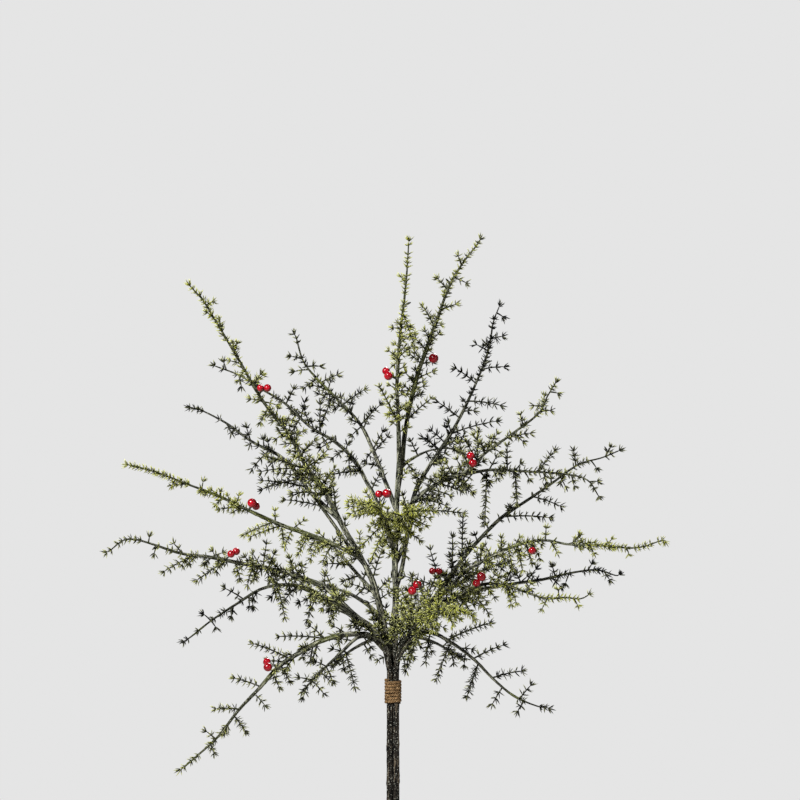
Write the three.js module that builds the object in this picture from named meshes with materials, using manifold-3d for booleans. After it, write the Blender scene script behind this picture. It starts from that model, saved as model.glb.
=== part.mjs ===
// Yew branches with berries in a vase. Millimetres, +Z up, origin at the middle of the vase's underside.
// Four cut stems are tied together with jute twine and stand in a narrow-necked ceramic vase. Above the
// tie each stem fans out into branches with short twigs, whorls of needles and red berries.
import * as THREE from "three";
import { mergeVertices } from "three/addons/utils/BufferGeometryUtils.js";
import Module from "manifold-3d";

// Vase
const VASE_HEIGHT = 200;
const VASE_FOOT_RADIUS = 48;
const VASE_BELLY_RADIUS = 58;
const VASE_BELLY_HEIGHT = 95;
const VASE_NECK_RADIUS = 14;
const VASE_NECK_START = 165;
const VASE_LIP_RADIUS = 16.5;
const VASE_BORE_RADIUS = 8.8;
const VASE_WALL = 4.5;
const VASE_FLOOR = 8;
const VASE_SIDES = 24;

// Cut stems and the twine round them
const SEAT_GAP = 0.3;
const STEM_FOOT_RADIUS = 3.1;
const STEM_TIE_RADIUS = 2.75;
const STEM_SPACING = 0.17;
const STEM_SIDES = 8;
const TIE_BOTTOM = 308;
const TIE_TOP = 333;
const STEM_TOP = 346;
const TWINE_PITCH = 3.1;
const TWINE_HALF_HEIGHT = 1.38;
const TWINE_HALF_DEPTH = 1;
const TWINE_SIDES = 6;
const TWINE_STEPS_A_CORNER = 2;

// Branches, twigs and needles
const WOOD_SIDES = 6;
const TWIG_RADII = [0.95, 0.7];
const CORE_SIDES = 3;
const NEEDLES = 6;
const NEEDLE_LENGTH = 6;
const NEEDLE_HALF_BASE = 0.9;
const WHORL_SPACING = 26;
const NEAREST_WHORLS = 12.5;
const DEPTH_BEND = 1.4;
const LEADER_SHARE = 0.32;
const NEAREST_STOPS = 0.02;
const SHORTEST_SPRAY = 26;
const SIDE_SPRAY_STEP = 85;
const SIDE_SPRAY_LENGTH = 17;
const CLEARANCE = 0.4;

// Berries
const BERRY_SIDES = 8;
const BERRY_RINGS = 4;
const PAIR_OVERLAP = 1.3;
const STALK_RADIUS = 0.8;

// Each branch has its route as [x, z] from where it grows to its tip, the depth y of its tip, its radius
// at both ends, and its twigs as [root x, root z, tip x, tip z].
const STEMS = [
  {
    name: "leafy_stem_left_high",
    corner: [-1, 1],
    branches: [
      {
        name: "high_left",
        route: [
          [-3, 346], [-8, 381], [-19, 427], [-35, 460], [-51, 487], [-69, 523], [-84, 541],
          [-103, 577], [-129, 610], [-153, 651], [-176, 690], [-189, 711], [-205, 729],
        ],
        depth: -60,
        radius: [2.6, 0.8],
        twigs: [
          [-156, 660, -154, 672], [-136, 628, -127, 640], [-150, 648, -166, 652],
          [-148, 642, -155, 628], [-129, 610, -112, 606], [-124, 604, -134, 586],
          [-115, 592, -97, 592], [-106, 580, -120, 571], [-55, 498, -61, 535], [-186, 706, -176, 712],
          [-47, 482, -48, 496],
        ],
      },
      {
        name: "mid_left",
        grows: "high_left",
        route: [
          [-55, 492], [-83, 520], [-92, 533], [-112, 555], [-141, 570], [-168, 589], [-194, 602],
          [-208, 605],
        ],
        depth: 70,
        radius: [1.9, 0.8],
        twigs: [
          [-143, 571, -148, 588], [-125, 560, -126, 574], [-88, 524, -134, 532],
          [-112, 555, -125, 548], [-68, 503, -112, 513], [-168, 589, -160, 576], [-98, 540, -84, 548],
        ],
      },
      {
        name: "left",
        grows: "high_left",
        route: [
          [-32, 452], [-55, 466], [-82, 477], [-108, 486], [-144, 502], [-175, 517], [-206, 529],
          [-237, 541], [-267, 549],
        ],
        depth: -85,
        radius: [1.9, 0.8],
        twigs: [
          [-150, 504, -177, 503], [-190, 524, -188, 535], [-156, 509, -152, 521],
          [-117, 490, -118, 506], [-110, 486, -146, 474], [-84, 478, -96, 468], [-216, 533, -222, 524],
          [-100, 484, -86, 494], [-66, 471, -76, 482],
        ],
      },
      {
        name: "inner_left",
        grows: "high_left",
        route: [[-16, 415], [-35, 437], [-55, 459], [-66, 468], [-93, 477]],
        depth: 95,
        radius: [1.7, 0.8],
        twigs: [[-44, 446, -70, 448], [-20, 418, -44, 429], [-30, 432, -22, 452], [-62, 465, -54, 480]],
      },
      {
        name: "back_left",
        grows: "high_left",
        route: [[-10, 388], [-20, 402], [-38, 414], [-58, 421], [-78, 424]],
        depth: 185,
        radius: [1.8, 0.8],
        twigs: [[-38, 414, -24, 426], [-50, 418, -62, 405], [-62, 421, -70, 440]],
      },
      {
        name: "back_low_left",
        grows: "high_left",
        route: [[-5, 366], [-18, 372], [-36, 364], [-52, 352], [-62, 342]],
        depth: 140,
        radius: [1.6, 0.8],
        twigs: [[-30, 368, -20, 352], [-46, 357, -64, 362]],
      },
    ],
  },
  {
    name: "leafy_stem_left_low",
    corner: [-1, -1],
    branches: [
      {
        name: "far_left",
        route: [
          [-3, 346], [-8, 364], [-20, 383], [-40, 398], [-65, 423], [-82, 431], [-112, 441],
          [-147, 448], [-182, 455], [-211, 459], [-242, 469], [-257, 473], [-269, 472], [-283, 461],
          [-289, 460],
        ],
        depth: -40,
        radius: [2.6, 0.8],
        twigs: [
          [-244, 470, -242, 479], [-236, 467, -239, 455], [-210, 459, -221, 472],
          [-198, 457, -232, 439], [-165, 451, -199, 430], [-142, 447, -136, 434],
          [-125, 444, -117, 462], [-182, 455, -166, 461], [-96, 436, -88, 449], [-182, 455, -190, 445],
          [-105, 439, -120, 428],
        ],
      },
      {
        name: "left_drooping",
        grows: "far_left",
        route: [
          [-36, 395], [-56, 404], [-80, 420], [-104, 427], [-131, 423], [-156, 408], [-183, 390],
          [-203, 374], [-214, 367],
        ],
        depth: 80,
        radius: [1.8, 0.8],
        twigs: [
          [-183, 390, -193, 399], [-160, 405, -163, 391], [-150, 412, -172, 425],
          [-120, 425, -116, 411], [-183, 390, -176, 380], [-74, 416, -97, 408], [-66, 410, -60, 394],
          [-134, 421, -142, 410],
        ],
      },
      {
        name: "low_left",
        grows: "far_left",
        route: [
          [-7, 362], [-22, 376], [-36, 378], [-52, 377], [-73, 371], [-93, 360], [-113, 347],
          [-133, 325], [-153, 304], [-174, 277], [-195, 258], [-214, 242],
        ],
        depth: -70,
        radius: [1.9, 0.8],
        twigs: [
          [-153, 304, -181, 304], [-132, 326, -162, 336], [-104, 354, -143, 371],
          [-66, 373, -118, 376], [-138, 319, -125, 305], [-158, 297, -145, 279],
          [-177, 275, -189, 285], [-181, 269, -177, 257], [-112, 348, -102, 328], [-46, 377, -62, 388],
        ],
      },
      {
        name: "low_front",
        grows: "far_left",
        route: [[-10, 367], [-32, 376], [-52, 360], [-75, 339], [-91, 322]],
        depth: -115,
        radius: [1.6, 0.8],
        twigs: [[-48, 363, -37, 323], [-72, 342, -60, 331], [-66, 347, -80, 354], [-30, 375, -20, 362]],
      },
      {
        name: "front_left",
        grows: "far_left",
        route: [[-40, 398], [-48, 404], [-60, 412], [-72, 417], [-82, 419]],
        depth: -150,
        radius: [1.6, 0.8],
        twigs: [[-54, 408, -44, 420], [-64, 414, -72, 402], [-72, 417, -84, 428]],
      },
    ],
  },
  {
    name: "leafy_stem_middle",
    corner: [1, 1],
    branches: [
      {
        name: "top",
        route: [
          [3, 346], [2, 372], [3, 422], [2, 452], [4, 515], [6, 550], [5, 602], [4, 627], [7, 675],
          [11, 710], [14, 741], [16, 775],
        ],
        depth: -25,
        radius: [2.6, 0.8],
        twigs: [
          [8, 682, -3, 685], [9, 684, 21, 686], [11, 699, 23, 662], [5, 650, -7, 640],
          [5, 587, -15, 629], [5, 622, 17, 616], [5, 600, -8, 596], [13, 728, 6, 738],
          [4, 500, -10, 486], [4, 530, 15, 542],
        ],
      },
      {
        name: "top_right",
        grows: "top",
        route: [
          [5, 517], [9, 550], [13, 586], [23, 632], [34, 664], [45, 695], [56, 725], [69, 748],
          [83, 766], [90, 777],
        ],
        depth: 40,
        radius: [1.9, 0.8],
        twigs: [
          [69, 747, 64, 760], [61, 735, 77, 728], [54, 722, 42, 737], [48, 702, 67, 709],
          [40, 686, 28, 709], [37, 669, 49, 681], [25, 632, 43, 642], [18, 591, 41, 616],
          [9, 554, 28, 530],
        ],
      },
      {
        name: "high_right",
        grows: "top",
        route: [
          [3, 446], [16, 482], [22, 519], [38, 548], [56, 575], [71, 602], [89, 642], [97, 666],
          [101, 690], [109, 711],
        ],
        depth: 95,
        radius: [2, 0.8],
        twigs: [
          [99, 673, 114, 677], [96, 661, 80, 670], [90, 643, 116, 646], [83, 629, 60, 646],
          [78, 610, 112, 606], [66, 594, 42, 612], [58, 578, 108, 592], [48, 561, 27, 576],
          [104, 700, 114, 694], [30, 535, 47, 526],
        ],
      },
      {
        name: "right_rising",
        grows: "top",
        route: [
          [3, 474], [21, 511], [50, 532], [72, 540], [93, 560], [121, 580], [145, 599], [153, 615],
          [164, 633],
        ],
        depth: -80,
        radius: [1.9, 0.8],
        twigs: [
          [148, 606, 136, 607], [147, 600, 161, 602], [129, 587, 126, 601], [112, 574, 141, 580],
          [93, 560, 98, 577], [84, 551, 85, 583], [156, 620, 168, 618], [120, 579, 132, 568],
          [60, 536, 52, 551], [16, 500, 74, 499],
        ],
      },
      {
        name: "right_level",
        grows: "right_rising",
        route: [[50, 532], [62, 535], [95, 542], [128, 541], [171, 538], [194, 532], [208, 512]],
        depth: -20,
        radius: [1.6, 0.8],
        twigs: [
          [145, 541, 163, 564], [122, 541, 124, 505], [94, 541, 91, 487], [178, 537, 182, 522],
          [114, 542, 114, 570], [196, 530, 208, 531], [72, 538, 66, 522],
        ],
      },
      {
        name: "behind_left",
        grows: "top",
        route: [
          [2, 458], [-17, 511], [-26, 529], [-39, 552], [-58, 570], [-83, 585], [-108, 608],
          [-134, 624], [-155, 637], [-184, 648],
        ],
        depth: 85,
        radius: [1.9, 0.8],
        twigs: [
          [-155, 637, -152, 622], [-140, 628, -131, 641], [-93, 594, -106, 572], [-73, 580, -73, 612],
          [-60, 571, -76, 562], [-32, 541, -68, 536], [-108, 608, -98, 600], [-168, 642, -172, 654],
        ],
      },
      {
        name: "up_left",
        grows: "top",
        route: [
          [4, 502], [-8, 531], [-20, 562], [-33, 588], [-54, 611], [-75, 632], [-90, 651], [-97, 674],
          [-101, 682],
        ],
        depth: 45,
        radius: [1.8, 0.8],
        twigs: [
          [-91, 653, -107, 657], [-86, 646, -69, 646], [-72, 630, -52, 639], [-84, 643, -103, 640],
          [-76, 633, -92, 622], [-41, 597, -77, 620], [-50, 607, -26, 624], [-31, 588, -10, 610],
          [-60, 617, -72, 586], [-32, 585, -44, 574], [-18, 560, -3, 578],
        ],
      },
      {
        name: "front_high",
        grows: "top",
        route: [[2, 455], [-4, 480], [-12, 500], [-19, 508], [-24, 511]],
        depth: -172,
        radius: [1.7, 0.8],
        twigs: [
          [-12, 499, -47, 508], [-8, 490, -32, 466], [-14, 502, -4, 516], [-16, 505, -34, 502],
          [-20, 508, -28, 524], [-10, 496, 4, 490],
        ],
      },
      {
        name: "front_mid",
        grows: "top",
        route: [[3, 475], [8, 492], [14, 500], [18, 502], [20, 501]],
        depth: -118,
        radius: [1.5, 0.8],
        twigs: [[6, 486, 30, 470], [14, 500, 28, 509], [16, 501, 8, 512]],
      },
      {
        name: "back_high",
        grows: "top",
        route: [[5, 540], [16, 551], [36, 561], [58, 563], [72, 558]],
        depth: 165,
        radius: [1.6, 0.8],
        twigs: [[24, 558, 16, 574], [40, 564, 54, 552], [52, 566, 62, 582]],
      },
    ],
  },
  {
    name: "leafy_stem_right",
    corner: [1, -1],
    branches: [
      {
        name: "right_high",
        route: [
          [3, 346], [6, 356], [12, 372], [28, 394], [48, 423], [71, 454], [89, 475], [110, 495],
          [140, 515], [159, 528], [186, 547], [210, 554], [232, 563],
        ],
        depth: 60,
        radius: [2.6, 0.8],
        twigs: [
          [199, 551, 207, 540], [184, 546, 181, 565], [140, 515, 172, 504], [110, 495, 161, 494],
          [69, 452, 70, 498], [159, 528, 158, 542], [48, 423, 36, 466],
          [214, 555, 221, 568], [96, 482, 88, 496], [126, 506, 122, 518],
        ],
      },
      {
        name: "far_right",
        grows: "right_high",
        route: [
          [40, 412], [57, 426], [76, 443], [103, 458], [129, 469], [153, 472], [176, 468], [210, 467],
          [242, 465], [268, 473], [272, 469],
        ],
        depth: -70,
        radius: [1.9, 0.8],
        twigs: [
          [211, 467, 221, 476], [190, 468, 184, 479], [196, 467, 202, 456], [152, 472, 153, 488],
          [157, 471, 165, 457], [120, 465, 128, 453], [86, 449, 82, 464], [104, 458, 112, 472],
          [68, 436, 82, 430], [232, 466, 236, 456], [136, 470, 144, 460],
        ],
      },
      {
        name: "right_low",
        grows: "right_high",
        route: [
          [34, 402], [60, 414], [87, 422], [122, 428], [151, 432], [178, 438], [205, 441], [225, 435],
          [232, 438],
        ],
        depth: 78,
        radius: [1.8, 0.8],
        twigs: [
          [177, 437, 172, 424], [163, 435, 159, 448], [196, 440, 202, 450], [128, 429, 122, 442],
          [100, 425, 108, 438], [212, 439, 220, 428], [80, 420, 70, 434],
        ],
      },
      {
        name: "right_lower",
        grows: "right_high",
        route: [
          [24, 388], [47, 402], [70, 420], [90, 428], [112, 427], [139, 418], [153, 414], [171, 415],
          [187, 414], [199, 420],
        ],
        depth: -38,
        radius: [1.7, 0.8],
        twigs: [
          [154, 414, 147, 400], [114, 426, 119, 404], [180, 415, 186, 404], [132, 420, 140, 432],
          [96, 429, 104, 441], [80, 425, 72, 412], [166, 415, 164, 426],
        ],
      },
      {
        name: "low_right",
        grows: "right_high",
        route: [
          [5, 354], [18, 372], [36, 380], [58, 370], [81, 353], [101, 333], [121, 317], [142, 308],
          [159, 305],
        ],
        depth: -62,
        radius: [1.8, 0.8],
        twigs: [
          [80, 354, 114, 369], [54, 372, 100, 391], [99, 335, 132, 342], [126, 315, 140, 331],
          [85, 349, 73, 313], [109, 326, 97, 306], [130, 312, 122, 299], [58, 370, 42, 331],
          [37, 380, 32, 346], [20, 373, 12, 338],
        ],
      },
      {
        name: "front_right",
        grows: "right_high",
        route: [[14, 376], [23, 388], [36, 398], [50, 404], [62, 408]],
        depth: -172,
        radius: [1.7, 0.8],
        twigs: [
          [24, 389, 12, 416], [30, 394, 54, 384], [40, 400, 34, 422], [50, 404, 66, 422],
          [34, 397, 22, 404],
        ],
      },
      {
        name: "back_right",
        grows: "right_high",
        route: [[30, 398], [52, 418], [78, 434], [100, 443], [118, 447]],
        depth: 185,
        radius: [1.7, 0.8],
        twigs: [[60, 423, 52, 438], [78, 434, 90, 422], [92, 440, 96, 456], [106, 444, 118, 434]],
      },
      {
        name: "back_low_right",
        grows: "right_high",
        route: [[10, 368], [24, 374], [42, 368], [58, 358], [70, 350]],
        depth: 145,
        radius: [1.6, 0.8],
        twigs: [[34, 372, 40, 356], [50, 363, 62, 374]],
      },
    ],
  },
];

// Each berry or touching pair: the branch it grows on, where its stalk starts as [x, z], how far the
// berries stand in front of that point, and every berry as [x, z, diameter].
const BERRIES = [
  { on: "high_left", root: [-134, 618], forward: 7, fruit: [[-125, 624, 7.7], [-134, 624, 7]] },
  { on: "top", root: [5, 632], forward: 9, fruit: [[-4.5, 636, 8.7], [-7, 641, 7.7]] },
  { on: "top_right", root: [31, 655], forward: 4, fruit: [[40.6, 653.7, 9.7]] },
  { on: "left", root: [-145, 502], forward: 8, fruit: [[-140.4, 509.5, 9.2], [-136.5, 506.3, 8]] },
  { on: "front_high", root: [-12, 500], forward: 6, fruit: [[-6, 519.8, 9.2], [-13.7, 519.1, 7.7]] },
  { on: "right_rising", root: [86, 553], forward: 7, fruit: [[77.3, 556.5, 8], [80.4, 546.3, 8]] },
  { on: "low_left", root: [-113, 347], forward: 8, fruit: [[-124.7, 345.7, 8.7], [-125.7, 350.8, 7.9]] },
  { on: "far_left", root: [-168, 452], forward: 7, fruit: [[-161.4, 458.5, 7.6], [-156.3, 461, 7.6]] },
  { on: "right_high", root: [50, 426], forward: 9, fruit: [[46, 441, 6.9], [38, 441, 6.9]] },
  { on: "front_right", root: [26, 394], forward: 4, fruit: [[19.2, 422.2, 8.7], [24.1, 428.3, 8.7]] },
  { on: "right_lower", root: [84, 426], forward: 9, fruit: [[88.2, 435.7, 9.2], [82.2, 427.7, 7.5]] },
  { on: "far_right", root: [134, 470], forward: 5, fruit: [[139.1, 461.7, 7.5]] },
  { on: "behind_left", root: [-15, 505], forward: -8, fruit: [[-6.2, 518.3, 8.6], [-14, 517.6, 7.2]] },
  { on: "back_right", root: [90, 439], forward: -6, fruit: [[89.3, 433.3, 8.6], [83.2, 425.2, 7]] },
  { on: "back_high", root: [68, 560], forward: -6, fruit: [[78.7, 555.4, 7.6], [81.9, 545, 7.2]] },
];

const wasm = await Module();
wasm.setup();

// A closed geometry as a solid that can be joined to others.
function solidOf(geometry) {
  const bare = geometry.clone();
  bare.deleteAttribute("normal");
  bare.deleteAttribute("uv");
  const merged = mergeVertices(bare, 1e-4);
  return new wasm.Manifold(
    new wasm.Mesh({
      numProp: 3,
      vertProperties: merged.attributes.position.array,
      triVerts: new Uint32Array(merged.index.array),
    }),
  );
}

// A solid as a three.js geometry.
function geometryOf(solid) {
  const { vertProperties, triVerts } = solid.getMesh();
  return new THREE.BufferGeometry()
    .setAttribute("position", new THREE.BufferAttribute(vertProperties, 3))
    .setIndex(new THREE.BufferAttribute(triVerts, 1));
}

function joined(solids) {
  return solids.reduce((whole, next) => whole.add(next));
}

// The faces between two neighbouring rings. The fuller ring has a whole multiple of the other's corners.
function facesBetween(few, fewCount, many, manyCount, upwards) {
  const share = manyCount / fewCount;
  const behind = Math.floor(share / 2);
  const corner = (k) => many + ((k - behind + manyCount) % manyCount);
  const faces = [];
  for (let i = 0; i < fewCount; i += 1) {
    const own = few + i;
    const next = few + ((i + 1) % fewCount);
    for (let k = i * share; k < (i + 1) * share; k += 1) {
      faces.push(...(upwards ? [own, corner(k + 1), corner(k)] : [own, corner(k), corner(k + 1)]));
    }
    const last = corner((i + 1) * share);
    faces.push(...(upwards ? [own, next, last] : [own, last, next]));
  }
  return faces;
}

// A closed solid through a row of rings of points, capped at both ends.
function loft(rings) {
  const starts = [];
  let count = 0;
  for (const ring of rings) {
    starts.push(count);
    count += ring.length;
  }
  const faces = [];
  for (let i = 1; i < rings.length; i += 1) {
    const upwards = rings[i - 1].length <= rings[i].length;
    const [few, many] = upwards ? [i - 1, i] : [i, i - 1];
    faces.push(...facesBetween(starts[few], rings[few].length, starts[many], rings[many].length, upwards));
  }
  const end = starts[rings.length - 1];
  for (let i = 2; i < rings[0].length; i += 1) faces.push(0, i, i - 1);
  for (let i = 2; i < rings.at(-1).length; i += 1) faces.push(end, end + i - 1, end + i);
  return solidOf(new THREE.BufferGeometry().setFromPoints(rings.flat()).setIndex(faces));
}

// The tangent of a path and two directions square to it, steady along the whole path.
function frameOf(path) {
  const span = path.getPoint(1).sub(path.getPoint(0));
  const axes = [new THREE.Vector3(1, 0, 0), new THREE.Vector3(0, 1, 0), new THREE.Vector3(0, 0, 1)];
  const steady = axes.sort((a, b) => Math.abs(a.dot(span)) - Math.abs(b.dot(span)))[0];
  const near = 0.01;
  return (at) => {
    const before = path.getPoint(Math.max(0, at - near));
    const tangent = path.getPoint(Math.min(1, at + near)).sub(before).normalize();
    const across = steady.clone().addScaledVector(tangent, -steady.dot(tangent)).normalize();
    return { tangent, across, up: tangent.clone().cross(across) };
  };
}

// A ring of corners round a point. With two radii every other corner stands out, and may lean forwards.
function ring(centre, frame, corners, radius, tipRadius = radius, forwards = 0) {
  return Array.from({ length: corners }, (_, i) => {
    const angle = (2 * Math.PI * i) / corners;
    const out = i % 2 ? tipRadius : radius;
    return centre
      .clone()
      .addScaledVector(frame.across, out * Math.cos(angle))
      .addScaledVector(frame.up, out * Math.sin(angle))
      .addScaledVector(frame.tangent, i % 2 ? forwards : 0);
  });
}

// A number from 0 to 1 that looks random and is the same every time.
function vary(k) {
  const wave = Math.sin(k * 12.9898 + 4.1) * 43758.5453;
  return wave - Math.floor(wave);
}

// Everything placed so far, as stretches with a radius. What grows later keeps clear of other stems.
const taken = [];
const whorlCentres = [];
function take(owner, from, to, radius) {
  taken.push({ owner, line: new THREE.Line3(from.clone(), to.clone()), radius });
}
function isClear(owner, point, radius) {
  const nearest = new THREE.Vector3();
  return taken.every((piece) => {
    if (piece.owner === owner) return true;
    piece.line.closestPointToPoint(point, true, nearest);
    return nearest.distanceTo(point) > piece.radius + radius + CLEARANCE;
  });
}

// The stem's place in the bundle at a height, and its radius there.
function stemRadius(height) {
  return STEM_FOOT_RADIUS - ((STEM_FOOT_RADIUS - STEM_TIE_RADIUS) * height) / TIE_TOP;
}
function stemCentre([x, y], height) {
  const away = stemRadius(height) + STEM_SPACING;
  return new THREE.Vector3(x * away, y * away, height);
}

// The bare cut stem from the vase's floor to just above the tie.
function cutStem(corner) {
  const heights = [VASE_FLOOR + SEAT_GAP, 110, VASE_HEIGHT + 30, 275, TIE_BOTTOM, TIE_TOP, STEM_TOP];
  const level = {
    tangent: new THREE.Vector3(0, 0, 1),
    across: new THREE.Vector3(1, 0, 0),
    up: new THREE.Vector3(0, 1, 0),
  };
  const ringAt = (height) => ring(stemCentre(corner, height), level, STEM_SIDES, stemRadius(height));
  return loft(heights.map(ringAt));
}

// A branch's path through its route. It turns away in depth slowly at first.
const paths = new Map();
function branchPath(branch, corner) {
  let start = stemCentre(corner, STEM_TOP - 4);
  if (branch.grows) start = nearestOn(paths.get(branch.grows), ...branch.route[0]);
  const flat = branch.route.map(([x, z]) => new THREE.Vector2(x, z));
  const runs = flat.map((point, i) => (i ? point.distanceTo(flat[i - 1]) : 0));
  const whole = runs.reduce((sum, run) => sum + run);
  let gone = 0;
  const points = flat.map((point, i) => {
    gone += runs[i];
    const share = (gone / whole) ** DEPTH_BEND;
    return new THREE.Vector3(point.x, THREE.MathUtils.lerp(start.y, branch.depth, share), point.y);
  });
  points[0] = start;
  const path = new THREE.CurvePath();
  points.slice(1).forEach((point, i) => path.add(new THREE.LineCurve3(points[i], point)));
  return path;
}

// The shares of a branch's length at which its route has its points.
function stopsOf(path) {
  return [0, ...path.getCurveLengths().map((run) => run / path.getLength())];
}

// The point of a path that lies nearest to [x, z] as seen from the front.
function nearestOn(path, x, z) {
  const steps = 400;
  let best = { away: Infinity };
  for (let i = 0; i <= steps; i += 1) {
    const point = path.getPoint(i / steps);
    const away = Math.hypot(point.x - x, point.z - z);
    if (away < best.away) best = { away, point };
  }
  return best.point;
}

// Marks a branch's wood as taken, so that other stems keep clear of it.
function takeWood(owner, path, radii) {
  stopsOf(path).forEach((at, i, stops) => {
    if (i === 0) return;
    const before = stops[i - 1];
    take(owner, path.getPoint(before), path.getPoint(at), THREE.MathUtils.lerp(...radii, before));
  });
}

// The rings of bare wood from a branch's root to a share of its length.
function woodRings(path, radii, until) {
  const frameAt = frameOf(path);
  const radiusAt = (at) => THREE.MathUtils.lerp(...radii, at);
  const stops = stopsOf(path).filter((at) => at < until - NEAREST_STOPS);
  return stops.map((at) => ring(path.getPoint(at), frameAt(at), WOOD_SIDES, radiusAt(at)));
}

// The rings of a shoot from the share "from" to its tip: a slim core, with whorls of needles standing out.
function shootRings(owner, path, stops, radii, from, key) {
  const length = path.getLength();
  const frameAt = frameOf(path);
  const radiusAt = (at) => THREE.MathUtils.lerp(...radii, at);
  const coreAt = (at) => ring(path.getPoint(at), frameAt(at), CORE_SIDES, radiusAt(at));
  const whorls = Math.max(1, Math.round((length * (1 - from)) / WHORL_SPACING));
  const half = NEEDLE_HALF_BASE / length;
  const stations = [];
  for (let i = 1; i <= whorls; i += 1) {
    const at = from + ((1 - from) * i) / whorls - 2 * half;
    const centre = path.getPoint(at);
    const lean = THREE.MathUtils.degToRad(i === whorls ? 46 : 58 + 12 * vary(key + i));
    const reach = NEEDLE_LENGTH * (0.9 + 0.2 * vary(key + 3 * i));
    if (!isClear(owner, centre, reach + TWIG_RADII[0])) continue;
    if (whorlCentres.some((other) => other.distanceTo(centre) < NEAREST_WHORLS)) continue;
    const tip = radiusAt(at) + reach * Math.sin(lean);
    const star = ring(centre, frameAt(at), 2 * NEEDLES, radiusAt(at), tip, reach * Math.cos(lean));
    stations.push({ at, rings: [coreAt(at - half), star, coreAt(at + half)] });
    take(owner, centre, path.getPoint(at + half), reach + TWIG_RADII[0]);
    whorlCentres.push(centre);
  }
  const isFree = (at) => at > from + half && stations.every((whorl) => Math.abs(whorl.at - at) > 3 * half);
  const between = stops.filter((at) => at < 1 && isFree(at));
  const bare = [from, ...between, 1].map((at) => ({ at, rings: [coreAt(at)] }));
  return [...stations, ...bare].sort((a, b) => a.at - b.at).flatMap((station) => station.rings);
}

// A twig from a point on its branch to its tip, bent a little upwards.
function twigPath(root, tip) {
  const middle = root.clone().lerp(tip, 0.5);
  middle.z += root.distanceTo(tip) * 0.06;
  return new THREE.QuadraticBezierCurve3(root, middle, tip);
}

function isTwigClear(owner, path) {
  const probes = [0.25, 0.5, 0.75, 1];
  return probes.every((at) => isClear(owner, path.getPoint(at), TWIG_RADII[0]));
}

// The twigs that show beside a branch from the front, and those that stand out in front and behind.
function twigPaths(branch, path, key) {
  const twigs = [];
  branch.twigs.forEach(([rootX, rootZ, tipX, tipZ], i) => {
    const root = nearestOn(path, rootX, rootZ);
    const long = Math.hypot(tipX - root.x, tipZ - root.z);
    if (long < SHORTEST_SPRAY) return;
    const tip = new THREE.Vector3(tipX, root.y + long * (1.3 * vary(key + i) - 0.65), tipZ);
    twigs.push(twigPath(root, tip));
  });
  const count = Math.floor((path.getLength() * 0.75) / SIDE_SPRAY_STEP);
  const frameAt = frameOf(path);
  for (let i = 0; i < count; i += 1) {
    const at = 0.25 + (0.68 * (i + vary(key + 40 + i))) / count;
    const root = path.getPoint(at);
    const { tangent, across, up } = frameAt(at);
    const side = (i % 2 ? 1 : -1) * (0.5 + 0.6 * vary(key + 50 + i)) * Math.PI * 0.5;
    const out = across.multiplyScalar(Math.sin(side)).addScaledVector(up, Math.cos(side) * 0.5);
    const tip = root
      .clone()
      .addScaledVector(out.normalize(), SIDE_SPRAY_LENGTH * 0.85)
      .addScaledVector(tangent, SIDE_SPRAY_LENGTH * 0.5);
    twigs.push(twigPath(root, tip));
  }
  return twigs;
}

// The centres of the berries of one stalk. The second one touches the first, beside it or behind it.
function berryCentres(berry) {
  const root = nearestOn(paths.get(berry.on), ...berry.root);
  const [x, z, diameter] = berry.fruit[0];
  const first = new THREE.Vector3(x, root.y - berry.forward, z);
  const centres = [first];
  if (berry.fruit.length > 1) {
    const [nextX, nextZ, nextDiameter] = berry.fruit[1];
    const apart = (diameter + nextDiameter) / 2 - PAIR_OVERLAP;
    const step = new THREE.Vector3(nextX - x, 0, nextZ - z);
    const behind = Math.sqrt(Math.max(0, apart ** 2 - step.lengthSq()));
    step.y = Math.sign(berry.forward) * behind;
    centres.push(first.clone().addScaledVector(step.normalize(), apart));
  }
  return { root, centres };
}

// The stalk from the branch to just short of the first berry.
function berryStalk(berry) {
  const { root, centres } = berryCentres(berry);
  const radius = berry.fruit[0][2] / 2;
  const towards = root.clone().sub(centres[0]).normalize();
  const end = centres[0].clone().addScaledVector(towards, radius + SEAT_GAP);
  const path = new THREE.LineCurve3(root, end);
  const frameAt = frameOf(path);
  return loft([0, 1].map((at) => ring(path.getPoint(at), frameAt(at), CORE_SIDES, STALK_RADIUS)));
}

function berrySolid(berry) {
  const { centres } = berryCentres(berry);
  const fruit = centres.map((centre, i) => {
    const sphere = new THREE.SphereGeometry(berry.fruit[i][2] / 2, BERRY_SIDES, BERRY_RINGS);
    return solidOf(sphere.rotateX(Math.PI / 2).translate(centre.x, centre.y, centre.z));
  });
  return joined(fruit);
}

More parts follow.
